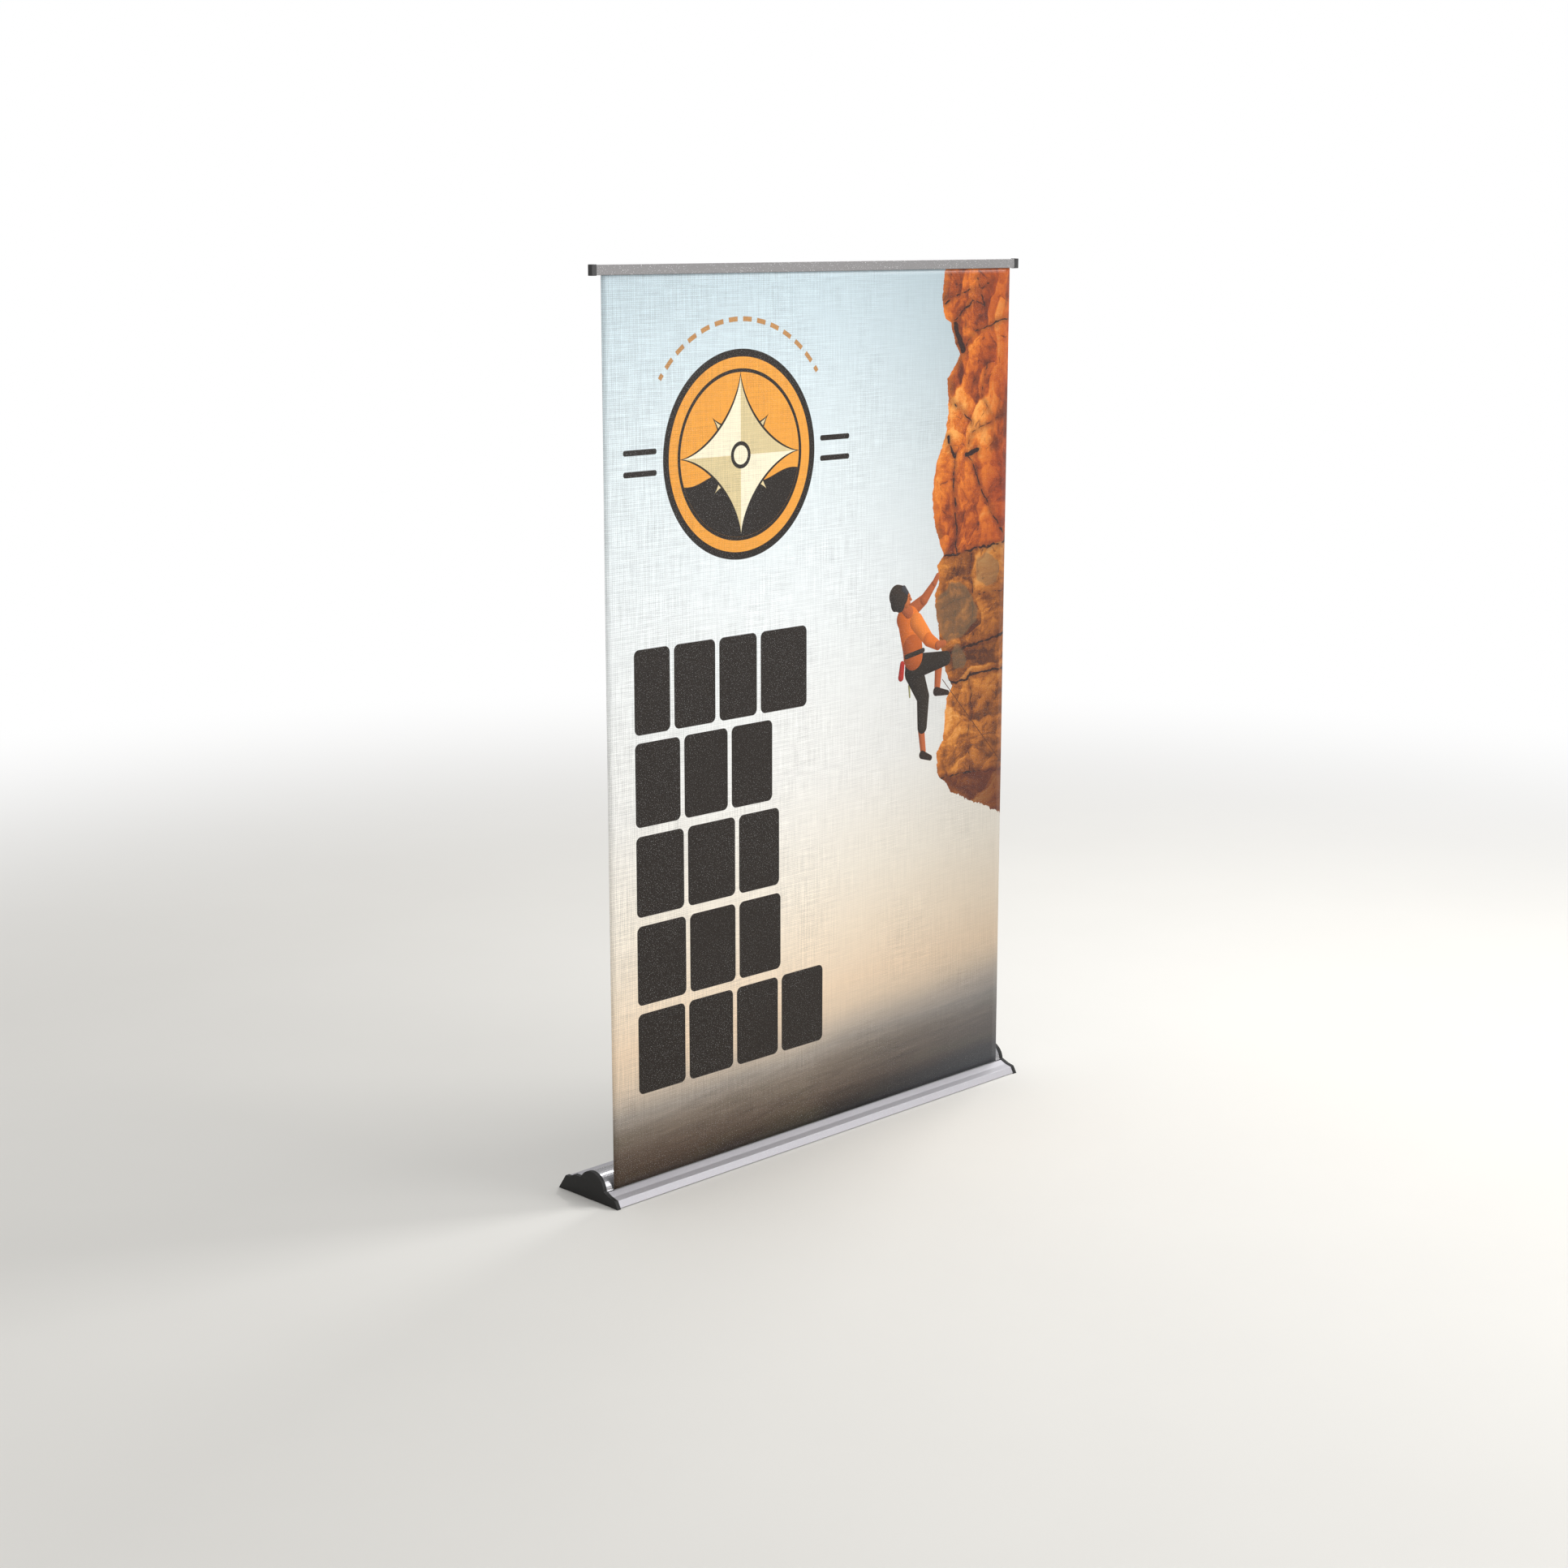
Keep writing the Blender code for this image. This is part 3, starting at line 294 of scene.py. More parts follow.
# Scales are in details per metre. Where there are three, they are along X, Y and Z.
DIE_LINES = (3.0, 900.0, 900.0)
BLAST_GRAIN = 700.0
# The bright flecks on blasted aluminium are painted glints.
PAINTED_SPARKLE_SCALE = 420.0
METAL_CLOUDS = 9.0
MOULD_TEXTURE = 1400.0
COARSE_TEXTURE = 1000.0
DUST = 35.0
SPANGLE = 420.0
TURNING_MARKS = (2500.0, 60.0, 60.0)
DRAWN_MARKS = (1500.0, 90.0, 90.0)
RUBBER_GRAIN = 1600.0
RUBBER_DUST = 140.0

WHITE = "FFFFFF"
WORN_EDGE_HIGHLIGHT = "F0F0F2"
ZINC_STAIN = "8C8468"
SPRING_TONES = ("3B3B3E", "5C5750")
PLASTIC_DUST_TONE = "77736C"
RUBBER_TONE = "161617"
RUBBER_DUST_TONE = "6E6A62"


def anodised(name, tone, roughness, metal=0.7, painted_sparkle=0.25):
    """Satin anodised aluminium: fine die lines along X, blasted grain with bright flecks that are painted
    glints, and pale edges that are worn and carry a painted edge highlight.
    """
    look = Look(name)
    place = look.place()
    lines = look.noise(look.vector("MULTIPLY", place, DIE_LINES), 1.0, 2.0, 0.6)
    grain = look.noise(place, BLAST_GRAIN, 2.0, 0.7)
    fleck = look.rise(look.noise(place, PAINTED_SPARKLE_SCALE, 1.0, 0.5), 0.66, 0.74)
    cloud = look.noise(place, METAL_CLOUDS, 3.0, 0.6)
    wear_and_highlight = look.edge_wear_and_highlight()
    level = 0.90 + 0.20 * grain + (cloud - 0.5) * 0.08 + (lines - 0.5) * 0.06
    base = look.shaded(colour(tone), level)
    # Painted glints: the bright flecks are mixed towards white in the colour, and are also a little
    # smoother.
    base = look.mix(fleck * painted_sparkle, base, WHITE)
    # Paler sharp edges: wear together with a painted edge highlight.
    base = look.mix(wear_and_highlight * 0.6, base, WORN_EDGE_HIGHLIGHT)
    look.set(
        Base_Color=base,
        Metallic=metal,
        Roughness=(lines - 0.5) * 0.08 + (grain - 0.5) * 0.14 - fleck * 0.08 + roughness,
        Normal=look.bump(lines * 0.4 + grain * 0.6, 0.00006, 0.6, EDGE_RADIUS),
    )
    return look.material


def moulded(name, tone, roughness, texture=MOULD_TEXTURE, rub_and_highlight="4A4A4C"):
    """Moulded plastic with a fine spark-eroded texture, paler on its edges where it rubs and where a
    painted edge highlight falls, and a little dusty.
    """
    look = Look(name)
    place = look.place()
    pits = look.cells(look.scaled(place, texture), "F1", flat=False)
    grain = look.noise(place, texture / 2, 2.0, 0.6)
    dust = look.noise(place, DUST, 4.0, 0.7)
    wear_and_highlight = look.edge_wear_and_highlight()
    base = look.shaded(colour(tone), 0.86 + 0.28 * grain)
    base = look.mix(look.rise(dust, 0.55, 0.85) * 0.10, base, PLASTIC_DUST_TONE)
    # Paler sharp edges: rubbing together with a painted edge highlight.
    base = look.mix(wear_and_highlight * 0.35, base, rub_and_highlight)
    look.set(
        Base_Color=base,
        Roughness=(grain - 0.5) * 0.15 + (dust - 0.5) * 0.10 + roughness,
        Normal=look.bump(pits * 0.5 + grain * 0.5, 0.00008, 0.5, EDGE_RADIUS),
    )
    look.shader.inputs["Specular IOR Level"].default_value = 0.45
    return look.material


def plated(name, tone, roughness):
    """Zinc-plated steel with a faint spangle and turning marks."""
    look = Look(name)
    place = look.place()
    spangle = look.cells(look.scaled(look.drift(place, 300.0, 0.002), SPANGLE), "F1", flat=False)
    haze = look.noise(place, 60.0, 4.0, 0.6)
    turning = look.noise(look.vector("MULTIPLY", place, TURNING_MARKS), 1.0, 1.0)
    base = look.shaded(colour(tone), 0.85 + 0.18 * spangle + (haze - 0.5) * 0.25)
    base = look.mix(look.rise(haze, 0.58, 0.80) * 0.25, base, ZINC_STAIN)
    look.set(
        Base_Color=base,
        Metallic=1.0,
        Roughness=(haze - 0.5) * 0.25 + roughness,
        Normal=look.bump(turning * 0.5 + spangle * 0.5, 0.00004, 0.5, 0.0003),
    )
    return look.material


def oiled_spring(name):
    """Dark spring wire: drawn along its length, with an oily film."""
    look = Look(name)
    place = look.place()
    drawn = look.noise(look.vector("MULTIPLY", place, DRAWN_MARKS), 1.0, 2.0)
    film = look.noise(place, 45.0, 3.0, 0.6)
    base = look.mix(film, *SPRING_TONES)
    look.set(
        Base_Color=base,
        Metallic=1.0,
        Roughness=drawn * 0.15 + film * 0.15 + 0.20,
        Normal=look.bump(drawn, 0.00003, 0.6),
    )
    look.shader.inputs["Coat Weight"].default_value = 0.3
    look.shader.inputs["Coat Roughness"].default_value = 0.2
    return look.material


def rubber(name):
    """Matt rubber with moulding grain and floor dust."""
    look = Look(name)
    place = look.place()
    grain = look.noise(place, RUBBER_GRAIN, 3.0, 0.7)
    dust = look.noise(place, RUBBER_DUST, 4.0, 0.7)
    base = look.mix(look.rise(dust, 0.45, 0.80) * 0.35, RUBBER_TONE, RUBBER_DUST_TONE)
    look.set(
        Base_Color=base,
        Roughness=grain * 0.12 + 0.78,
        Normal=look.bump(grain, 0.0001, 0.8, EDGE_RADIUS),
    )
    return look.material


# ---------------------------------------------------------------- printed cloth

# Threads are spaced in metres. Slubs, the thick and thin places of a thread, are per metre.
THREAD_ACROSS = 0.0060
THREAD_UP = 0.0050
SLUB_LONG = 11.0
SLUB_ACROSS = 170.0
SLUB_UP = 200.0
CLOTH_ROUGHNESS = 0.44
CLOTH_CONTRAST = 0.34
# The unprinted back and the cut edge have less of the weave's contrast and gloss.
PLAIN_CONTRAST = 0.12
BACK_ROUGHNESS = 0.62
BACK_TONES = ("B9BABC", "C9CACB")
CUT_ROUGHNESS = 0.75
CUT_TONES = ("D5D5D3", "8D8C8A")


def weave(look, across, up):
    """Plain weave: the height of the crossing threads, and the uneven shade of single threads."""
    warp = look.calc("ABSOLUTE", look.calc("SINE", across * (math.pi / THREAD_ACROSS)))
    weft = look.calc("ABSOLUTE", look.calc("SINE", up * (math.pi / THREAD_UP)))
    crossing = look.calc("POWER", warp * weft, 0.5)
    upright = look.noise(look.joined(across * SLUB_ACROSS, up * SLUB_LONG), 1.0, 2.0, 0.6, flat=True)
    level = look.noise(look.joined(across * SLUB_LONG, up * SLUB_UP), 1.0, 2.0, 0.6, flat=True)
    return crossing, upright + level - 1.0


def cloth_finish(look, base, across, up, roughness=CLOTH_ROUGHNESS, contrast=CLOTH_CONTRAST):
    """Adds the weave to a printed or plain cloth, in colour, gloss and bump. The colour holds painted
    light: painted shade in the hollows between the threads, a weave contrast that grows towards the left
    where the sheen falls, and painted white glints.
    """
    crossing, slubs = weave(look, across, up)
    fleck = look.noise(look.joined(across, up), 420.0, 1.0, flat=True)
    patch = look.noise(look.joined(across, up), 4.0, 3.0, flat=True)
    # Painted sheen: the weave's light and dark grow stronger towards the left, where the sheen falls.
    strength = look.rise(patch - across * 0.35, 0.15, 0.85) * 0.75 + 0.25
    # The thread crowns lighter and the hollows between them darker is painted shade; the slubs and the
    # flecks are the threads' own tone.
    level = (crossing - 0.72) * contrast + slubs * contrast * 1.2 + (fleck - 0.5) * contrast
    shown = look.shaded(base, level * strength + 1.0)
    # Painted glints: white specks where the threads catch the light, strongest where the sheen falls.
    painted_glint = look.rise(fleck, 0.68, 0.76) * strength * 0.30
    look.set(
        Base_Color=look.mix(painted_glint, shown, WHITE),
        Roughness=slubs * 0.20 - crossing * 0.06 + roughness,
        Normal=look.bump(crossing * 0.5 + slubs * 0.5, 0.0005, 0.4),
    )
    look.shader.inputs["Sheen Weight"].default_value = 0.05
    look.shader.inputs["Specular IOR Level"].default_value = 0.24
    return look.material


# ---------------------------------------------------------------- the print

# Heights are above the floor and widths from the middle of the banner.
PRINT_FOOT = 0.032
PRINT_TOP = 2.30

INK = "1C1209"
CREAM = "FBF0D2"
AMBER = "F0A23A"
TAN = "BF8B52"

# The badge: its centre, its rings as radius and tone, the ground in it, and its star.
EMBLEM = (-0.284, 1.853)
EMBLEM_RINGS = [(0.262, INK), (0.243, AMBER), (0.214, INK), (0.205, AMBER)]
EMBLEM_GROUND = -0.055
GROUND_SWELL = 0.014
GROUND_SWELLS = 26.0
STAR_LONG = 0.198
STAR_SHORT = 0.128
STAR_OUTLINE = 0.012
STAR_SOFTNESS = 0.66
STAR_HUB = [(0.034, INK), (0.024, CREAM)]
STAR_BACK = "E7D3A2"
STAR_SHADE = "DCC998"
# The arc of dashes over the badge, and the bars at its sides as length and height.
DASH_RADIUS = 0.335
DASH_HEIGHT = 0.012
DASH_COUNT = 13
DASH_SPREAD = math.radians(108)
DASH_SHARE = 0.62
SIDE_BAR = (0.108, 0.014)
SIDE_BAR_REACH = 0.337
SIDE_BAR_LIFT = 0.026

# One row of plain blocks stands for each line of the headline: top, bottom and widths.
BLOCK_LEFT = -0.648
BLOCK_GAP = 0.014
BLOCK_CORNER = 0.016
BLOCK_ROWS = [
    (1.399, 1.186, (0.118, 0.140, 0.132, 0.167)),
    (1.166, 0.953, (0.150, 0.150, 0.145)),
    (0.930, 0.723, (0.160, 0.165, 0.145)),
    (0.700, 0.494, (0.165, 0.160, 0.150)),
    (0.472, 0.261, (0.160, 0.155, 0.150, 0.155)),
]

# The sky's tones, by the share of the way from PRINT_FOOT to PRINT_TOP.
SKY = [
    (0.00, "1C130C"),
    (0.012, "2C2018"),
    (0.024, "483A2E"),
    (0.042, "66574A"),
    (0.068, "7F7265"),
    (0.090, "A0968B"),
    (0.110, "C6B6A4"),
    (0.130, "E0CAB0"),
    (0.160, "EED5B8"),
    (0.215, "F2E0C8"),
    (0.300, "F3EADB"),
    (0.430, "F1F0EC"),
    (0.640, "EFF4F5"),
    (0.790, "E4EEF1"),
    (0.920, "D3E2E8"),
    (1.00, "C6D7DE"),
]

# The cliff's left edge: height above the floor and distance right of the middle.
CLIFF_EDGE = [
    (0.850, 0.560),
    (0.866, 0.523),
    (0.900, 0.500),
    (0.917, 0.472),
    (0.985, 0.460),
    (1.019, 0.488),
    (1.133, 0.500),
    (1.166, 0.522),
    (1.200, 0.500),
    (1.303, 0.468),
    (1.360, 0.460),
    (1.393, 0.449),
    (1.428, 0.449),
    (1.462, 0.466),
    (1.507, 0.454),
    (1.535, 0.483),
    (1.563, 0.466),
    (1.620, 0.443),
    (1.700, 0.432),
    (1.791, 0.449),
    (1.859, 0.483),
    (1.915, 0.492),
    (2.012, 0.488),
    (2.046, 0.520),
    (2.074, 0.539),
    (2.108, 0.515),
    (2.159, 0.500),
    (2.171, 0.472),
    (2.233, 0.462),
    (2.300, 0.474),
]
# The distances right of the middle that the edge's curve can hold.
CLIFF_REACH = (0.40, 0.60)
# The cliff's foot: its height at a distance right of the middle, and its slope.
CLIFF_FOOT = (0.866, 0.523, -0.42)
# Upright slabs are above the first height. Below the second is the dark underside.
BEDS_TOP = 1.530
UNDERSIDE_TOP = 0.910
# Details of the rock per metre, across and up: large and small blocks above BEDS_TOP, the
# same below it, and the rest.
SLABS = [(9.0, 5.0, 1.0), (21.0, 12.0, 1.0)]
BEDS = [(5.0, 9.0, 1.0), (14.0, 22.0, 1.0)]
EDGE_TEETH = 38.0
ROCK_GRAIN = 26.0
STRATA = (7.0, 60.0, 1.0)
FINE_CRACKS = (13.0, 11.0, 1.0)
HOLLOWS = (6.0, 3.4, 1.0)
RED_SLABS = "95330F"
RED_BEDS = "7C4416"
SUNLIT_RIM = "E8882C"
CRACK_SHADE = "5A240F"
CRACK_DARK = "2A100A"
FINE_DARK = "4A1C0D"
HOLLOW_DARK = "52200F"
UNDERSIDE_DARK = "54200F"
ROCK_PATCH = "6F5B40"
SLAB_TONES = [(0.10, "5B2210"), (0.35, "96400F"), (0.52, "BC5A14"), (0.70, "D8741C"), (0.95, "EFA04A")]
BED_TONES = [(0.10, "4A2412"), (0.35, "824716"), (0.52, "AC6420"), (0.70, "CB8030"), (0.95, "E0A258")]
# The main cracks: half width, and the points that each runs through.
CRACKS = [
    (0.0030, [(0.49, 1.53), (0.60, 1.54), (0.74, 1.552)]),
    (0.0035, [(0.47, 1.258), (0.515, 1.261), (0.62, 1.277), (0.74, 1.291)]),
    (0.0035, [(0.495, 1.185), (0.54, 1.172), (0.60, 1.192), (0.74, 1.192)]),
    (0.0030, [(0.475, 0.915), (0.605, 0.913), (0.74, 0.90)]),
    (0.0022, [(0.52, 1.81), (0.523, 1.715), (0.538, 1.534)]),
    (0.0022, [(0.58, 1.795), (0.633, 1.707), (0.74, 1.556)]),
    (0.0012, [(0.578, 1.833), (0.594, 1.862), (0.676, 1.889), (0.74, 1.909)]),
    (0.0080, [(0.573, 1.803), (0.614, 1.810)]),
    (0.0018, [(0.597, 1.529), (0.599, 1.44), (0.608, 1.29)]),
    (0.0014, [(0.467, 1.391), (0.57, 1.411), (0.74, 1.418)]),
    (0.0014, [(0.596, 1.189), (0.607, 1.084), (0.591, 1.007), (0.605, 0.913)]),
    (0.0050, [(0.492, 1.85), (0.515, 1.80)]),
    (0.0018, [(0.507, 1.95), (0.559, 1.918), (0.59, 1.885)]),
    (0.0022, [(0.474, 2.211), (0.541, 2.239), (0.598, 2.242), (0.67, 2.267)]),
    (0.0020, [(0.511, 2.162), (0.587, 2.216), (0.633, 2.20)]),
    (0.0020, [(0.603, 2.275), (0.635, 2.20)]),
    (0.0090, [(0.517, 2.15), (0.55, 2.085)]),
    (0.0018, [(0.544, 2.083), (0.60, 2.134), (0.74, 2.168)]),
    (0.0012, [(0.654, 2.049), (0.63, 1.96), (0.676, 1.90)]),
]
# Grey-brown patches on the rock: centre and radius.
CLIFF_SHADOWS = [((0.535, 1.375), 0.085), ((0.665, 1.47), 0.045), ((0.545, 1.235), 0.035)]
# The far land: its slope, its details per metre across and up, and its tones.
LAND_SLOPE = 0.06
LAND_STREAKS = (5.0, 55.0)
LAND_HILLS = (1.6, 9.0)
LAND_GREEN = "55533B"
LAND_WARM = "5C4330"
LAND_BLUE = "6C7178"
SKY_COOL = "A9BFC8"


def rounded_block(look, spot, centre, half, corner):
    """A mask of a rectangle with round corners."""
    inner = (half[0] - corner, half[1] - corner, 1.0)
    beyond = look.vector("SUBTRACT", spot, (*centre, 0.0))
    beyond = look.vector("ABSOLUTE", beyond)
    beyond = look.vector("SUBTRACT", beyond, inner)
    beyond = look.vector("MAXIMUM", beyond, (0.0, 0.0, 0.0))
    return look.within(look.vector("LENGTH", beyond), corner)


def disc(look, spot, centre, radius):
    return look.within(look.vector("DISTANCE", spot, (*centre, 0.0)), radius)


def either(look, masks):
    """The greatest of several masks."""
    result = masks[0]
    for mask in masks[1:]:
        result = look.calc("MAXIMUM", result, mask)
    return result


def headline(look, spot, picture):
    """Five rows of plain blocks."""
    masks = []
    for top, bottom, widths in BLOCK_ROWS:
        left = BLOCK_LEFT
        for width in widths:
            centre = (left + width / 2, (top + bottom) / 2)
            half = (width / 2, (top - bottom) / 2)
            masks.append(rounded_block(look, spot, centre, half, BLOCK_CORNER))
            left += width + BLOCK_GAP
    return look.mix(either(look, masks), picture, INK)


def star(look, offset, reach, turned):
    """A mask of a star with four hollow-sided points."""
    half = math.sqrt(0.5)
    ways = ((half, half, 0.0), (-half, half, 0.0)) if turned else ((1.0, 0.0, 0.0), (0.0, 1.0, 0.0))
    far = 0.0
    for way in ways:
        reached = look.calc("ABSOLUTE", look.vector("DOT_PRODUCT", offset, way))
        far = look.calc("POWER", reached, STAR_SOFTNESS) + far
    return look.within(look.calc("POWER", far, 1 / STAR_SOFTNESS), reach, 0.0015)


def emblem(look, spot, picture):
    """A round badge with a compass star over dark ground, an arc of dashes and bars at its sides."""
    badge = INK
    for radius, tone in EMBLEM_RINGS:
        badge = look.mix(disc(look, spot, EMBLEM, radius), badge, tone)
    offset = look.vector("SUBTRACT", spot, (*EMBLEM, 0.0))
    lift = look.vector("DOT_PRODUCT", offset, (0.0, 1.0, 0.0))
    sway = look.vector("DOT_PRODUCT", offset, (GROUND_SWELLS, 0.0, 0.0))
    swell = look.calc("SINE", sway) * GROUND_SWELL
    ground = look.rise(lift + swell - EMBLEM_GROUND, 0.001, -0.001)
    badge = look.mix(ground * disc(look, spot, EMBLEM, EMBLEM_RINGS[-1][0]), badge, INK)
    badge = look.mix(star(look, offset, STAR_SHORT + STAR_OUTLINE, True), badge, INK)
    badge = look.mix(star(look, offset, STAR_SHORT, True), badge, STAR_BACK)
    badge = look.mix(star(look, offset, STAR_LONG + STAR_OUTLINE, False), badge, INK)
    across = look.vector("DOT_PRODUCT", offset, (1.0, 0.0, 0.0))
    half_tone = look.calc("GREATER_THAN", across * lift, 0.0)
    badge = look.mix(star(look, offset, STAR_LONG, False), badge, look.mix(half_tone, CREAM, STAR_SHADE))
    for radius, tone in STAR_HUB:
        badge = look.mix(disc(look, spot, EMBLEM, radius), badge, tone)
    cover = disc(look, spot, EMBLEM, EMBLEM_RINGS[0][0])

    for side in (-1, 1):
        for rung in (-1, 1):
            centre = (EMBLEM[0] + side * SIDE_BAR_REACH, EMBLEM[1] + rung * SIDE_BAR_LIFT)
            half = (SIDE_BAR[0] / 2, SIDE_BAR[1] / 2)
            bar = rounded_block(look, spot, centre, half, SIDE_BAR[1] / 2 - 0.001)
            cover = look.calc("MAXIMUM", cover, bar)
            badge = look.mix(bar, badge, INK)

    angle = look.calc("ARCTAN2", across, lift)
    step = DASH_SPREAD / DASH_COUNT
    share = look.calc("PINGPONG", angle + DASH_SPREAD / 2, step / 2)
    dash = look.within(share, step / 2 * DASH_SHARE, 0.002)
    ring = look.within(look.calc("ABSOLUTE", look.vector("LENGTH", offset) - DASH_RADIUS), DASH_HEIGHT / 2)
    spread = look.within(look.calc("ABSOLUTE", angle), DASH_SPREAD / 2, 0.002)
    dashes = dash * ring * spread
    badge = look.mix(dashes, badge, TAN)
    return look.mix(look.calc("MAXIMUM", cover, dashes), picture, badge)


def far_land(look, across, up, picture):
    """Hazy hills along the foot of the picture, in long streaks that drift down to the left."""
    slant = up - across * LAND_SLOPE
    spot = look.joined(across * LAND_STREAKS[0], slant * LAND_STREAKS[1])
    streaks = look.noise(spot, 1.0, 6.0, 0.68, flat=True)
    spot = look.joined(across * LAND_HILLS[0], slant * LAND_HILLS[1])
    broad = look.noise(spot, 1.0, 3.0, 0.5, flat=True)
    depth = look.rise(slant, 0.33, 0.10)
    level = (streaks - 0.5) * depth * 1.10 + (broad - 0.5) * depth * 0.45
    picture = look.shaded(picture, level + 1.0)
    green = look.rise(broad, 0.50, 0.70) * look.rise(slant, 0.26, 0.16) * 0.22
    picture = look.mix(green, picture, LAND_GREEN)
    warm = look.rise(across, 0.1, -0.7) * look.rise(slant, 0.24, 0.08) * 0.30
    picture = look.mix(warm, picture, LAND_WARM)
    blue = look.rise(across, -0.1, 0.8) * look.rise(slant, 0.36, 0.26) * 0.30
    return look.mix(blue, picture, LAND_BLUE)


def along_line(look, spot, start, end):
    """How far along a line the nearest point is, from 0 to 1, and the way from there to the spot."""
    first, run = Vector((*start, 0.0)), Vector((end[0] - start[0], end[1] - start[1], 0.0))
    offset = look.vector("SUBTRACT", spot, tuple(first))
    share = look.vector("DOT_PRODUCT", offset, tuple(run / run.length_squared))
    share = look.calc("MAXIMUM", look.calc("MINIMUM", share, 1.0), 0.0)
    along = look.vector("MULTIPLY", look.joined(share, share, share), tuple(run))
    return share, look.vector("SUBTRACT", offset, along)


def crack_gap(look, spot):
    """The gap to the nearest crack, less that crack's own width."""
    nearest = None
    for width, points in CRACKS:
        for start, end in zip(points, points[1:]):
            _, beside = along_line(look, spot, start, end)
            gap = look.vector("LENGTH", beside) - width
            nearest = gap if nearest is None else look.calc("MINIMUM", nearest, gap)
    return nearest


def facet_shade(look, spot, scale):
    """A shade for each block of rock, with a slope across the block."""
    stretched = look.vector("MULTIPLY", spot, scale)
    inputs = [("Vector", stretched), ("Scale", 1.0), ("Smoothness", 0.12)]
    made = look.node("TexVoronoi", inputs, feature="SMOOTH_F1", voronoi_dimensions="2D")
    random_shade, _, _ = look.channels(Value(look, made.outputs["Color"]))
    middle = Value(look, made.outputs["Position"])
    lean = look.vector("DOT_PRODUCT", look.vector("SUBTRACT", stretched, middle), (-0.5, 0.6, 0.0))
    return (random_shade - 0.5) * 0.5 + lean * 0.45


def cliff(look, spot, picture):
    """A sunlit sandstone cliff down the right edge: upright slabs over flat beds."""
    across, up, _ = look.parts(spot)
    low, high = CLIFF_EDGE[0][0], CLIFF_EDGE[-1][0]
    near, far = CLIFF_REACH
    share = look.rise_straight(up, low, high)
    curve = look.node("FloatCurve", [("Factor", 1.0)])
    look.plug(share, curve.inputs["Value"])
    line = curve.mapping.curves[0]
    while len(line.points) < len(CLIFF_EDGE):
        line.points.new(0.5, 0.5)
    for point, (height, reach) in zip(line.points, CLIFF_EDGE):
        point.location = ((height - low) / (high - low), (reach - near) / (far - near))
        point.handle_type = "VECTOR"
    curve.mapping.update()
    ragged = look.noise(spot, EDGE_TEETH, 4.0, 0.65, flat=True) - 0.5
    edge = Value(look, curve.outputs[0]) * (far - near) + near + ragged * 0.016
    foot = CLIFF_FOOT[0] + (across - CLIFF_FOOT[1]) * CLIFF_FOOT[2] + ragged * 0.030
    inside = across - edge
    face = look.rise(inside, -0.0006, 0.0006) * look.rise(up - foot, -0.0006, 0.0006)

    bent = look.drift(look.drift(spot, 7.0, 0.07, flat=True), 40.0, 0.012, flat=True)
    beds = look.rise(up - (across - 0.5) * 0.10, BEDS_TOP + 0.003, BEDS_TOP - 0.003)
    upright = facet_shade(look, bent, SLABS[0]) + facet_shade(look, bent, SLABS[1]) * 0.5
    flat = facet_shade(look, bent, BEDS[0]) + facet_shade(look, bent, BEDS[1]) * 0.5
    facets = upright + (flat - upright) * beds
    rough = look.noise(bent, ROCK_GRAIN, 6.0, 0.72, flat=True) - 0.5
    strata = look.noise(look.vector("MULTIPLY", bent, STRATA), 1.0, 4.0, 0.6, flat=True) - 0.5
    level = facets * 0.85 + rough * 1.1 + strata * (0.15 + beds * 0.45)
    upper = look.ramp(level + 0.5, SLAB_TONES)
    lower = look.ramp(level + 0.5, BED_TONES)
    tone = look.mix(beds, upper, lower)
    redder = look.rise(across + rough * 0.3, 0.60, 0.74) * 0.45
    tone = look.mix(redder, tone, look.mix(beds, RED_SLABS, RED_BEDS))
    rim = look.rise(inside, 0.035, 0.0) * 0.30
    tone = look.mix(rim, tone, SUNLIT_RIM)

    gap = crack_gap(look, look.drift(spot, 24.0, 0.022, flat=True))
    tone = look.mix(look.rise(gap, 0.018, 0.0) * 0.50, tone, CRACK_SHADE)
    tone = look.mix(look.rise(gap, 0.0015, -0.0010), tone, CRACK_DARK)
    fine = look.cells(look.vector("MULTIPLY", bent, FINE_CRACKS), "DISTANCE_TO_EDGE")
    tone = look.mix(look.rise(fine, 0.035, 0.0) * look.rise(rough, 0.05, -0.15) * 0.8, tone, FINE_DARK)
    hollow = look.noise(look.vector("MULTIPLY", spot, HOLLOWS), 1.0, 4.0, 0.6, flat=True)
    tone = look.mix(look.rise(hollow, 0.60, 0.70) * (1.0 - beds) * 0.70, tone, HOLLOW_DARK)
    for centre, radius in CLIFF_SHADOWS:
        away = look.vector("DISTANCE", look.drift(spot, 9.0, 0.08, flat=True), (*centre, 0.0))
        tone = look.mix(look.rise(away, radius + 0.004, radius - 0.004) * 0.55, tone, ROCK_PATCH)
    under = look.rise(up, UNDERSIDE_TOP + 0.004, UNDERSIDE_TOP - 0.004)
    tone = look.mix(under * 0.72, tone, UNDERSIDE_DARK)
    return look.mix(face, picture, tone)


# The climber, rope and kit, as limbs between two points with a radius at each end:
# from, to, radii and colour. The last ones are drawn on top.
SKIN = "A6552C"
JACKET = "CB661F"
TROUSERS = "261D15"
SHOE = "2A1A12"
ROPE = "3A2010"
CHALK_BAG = "A5231A"
KIT = "8C8A5E"
JACKET_BACK = "B5571A"
JACKET_HEM = "A8501A"
SLEEVE = "D5752B"
HARNESS = "2B2018"
FACE = "B0602F"
EYE = "3A1F12"
MOUTH = "7C3A1E"
HELMET = "30241C"
HELMET_BACK = "2A2019"
HELMET_RIM = "3B3A3E"
LIMB_LIGHT = (0.85, 0.50, 0.0)
LIMB_DARK = (0.55, 0.50, 0.50)
LIMB_BRIGHT = (1.45, 1.50, 1.50)
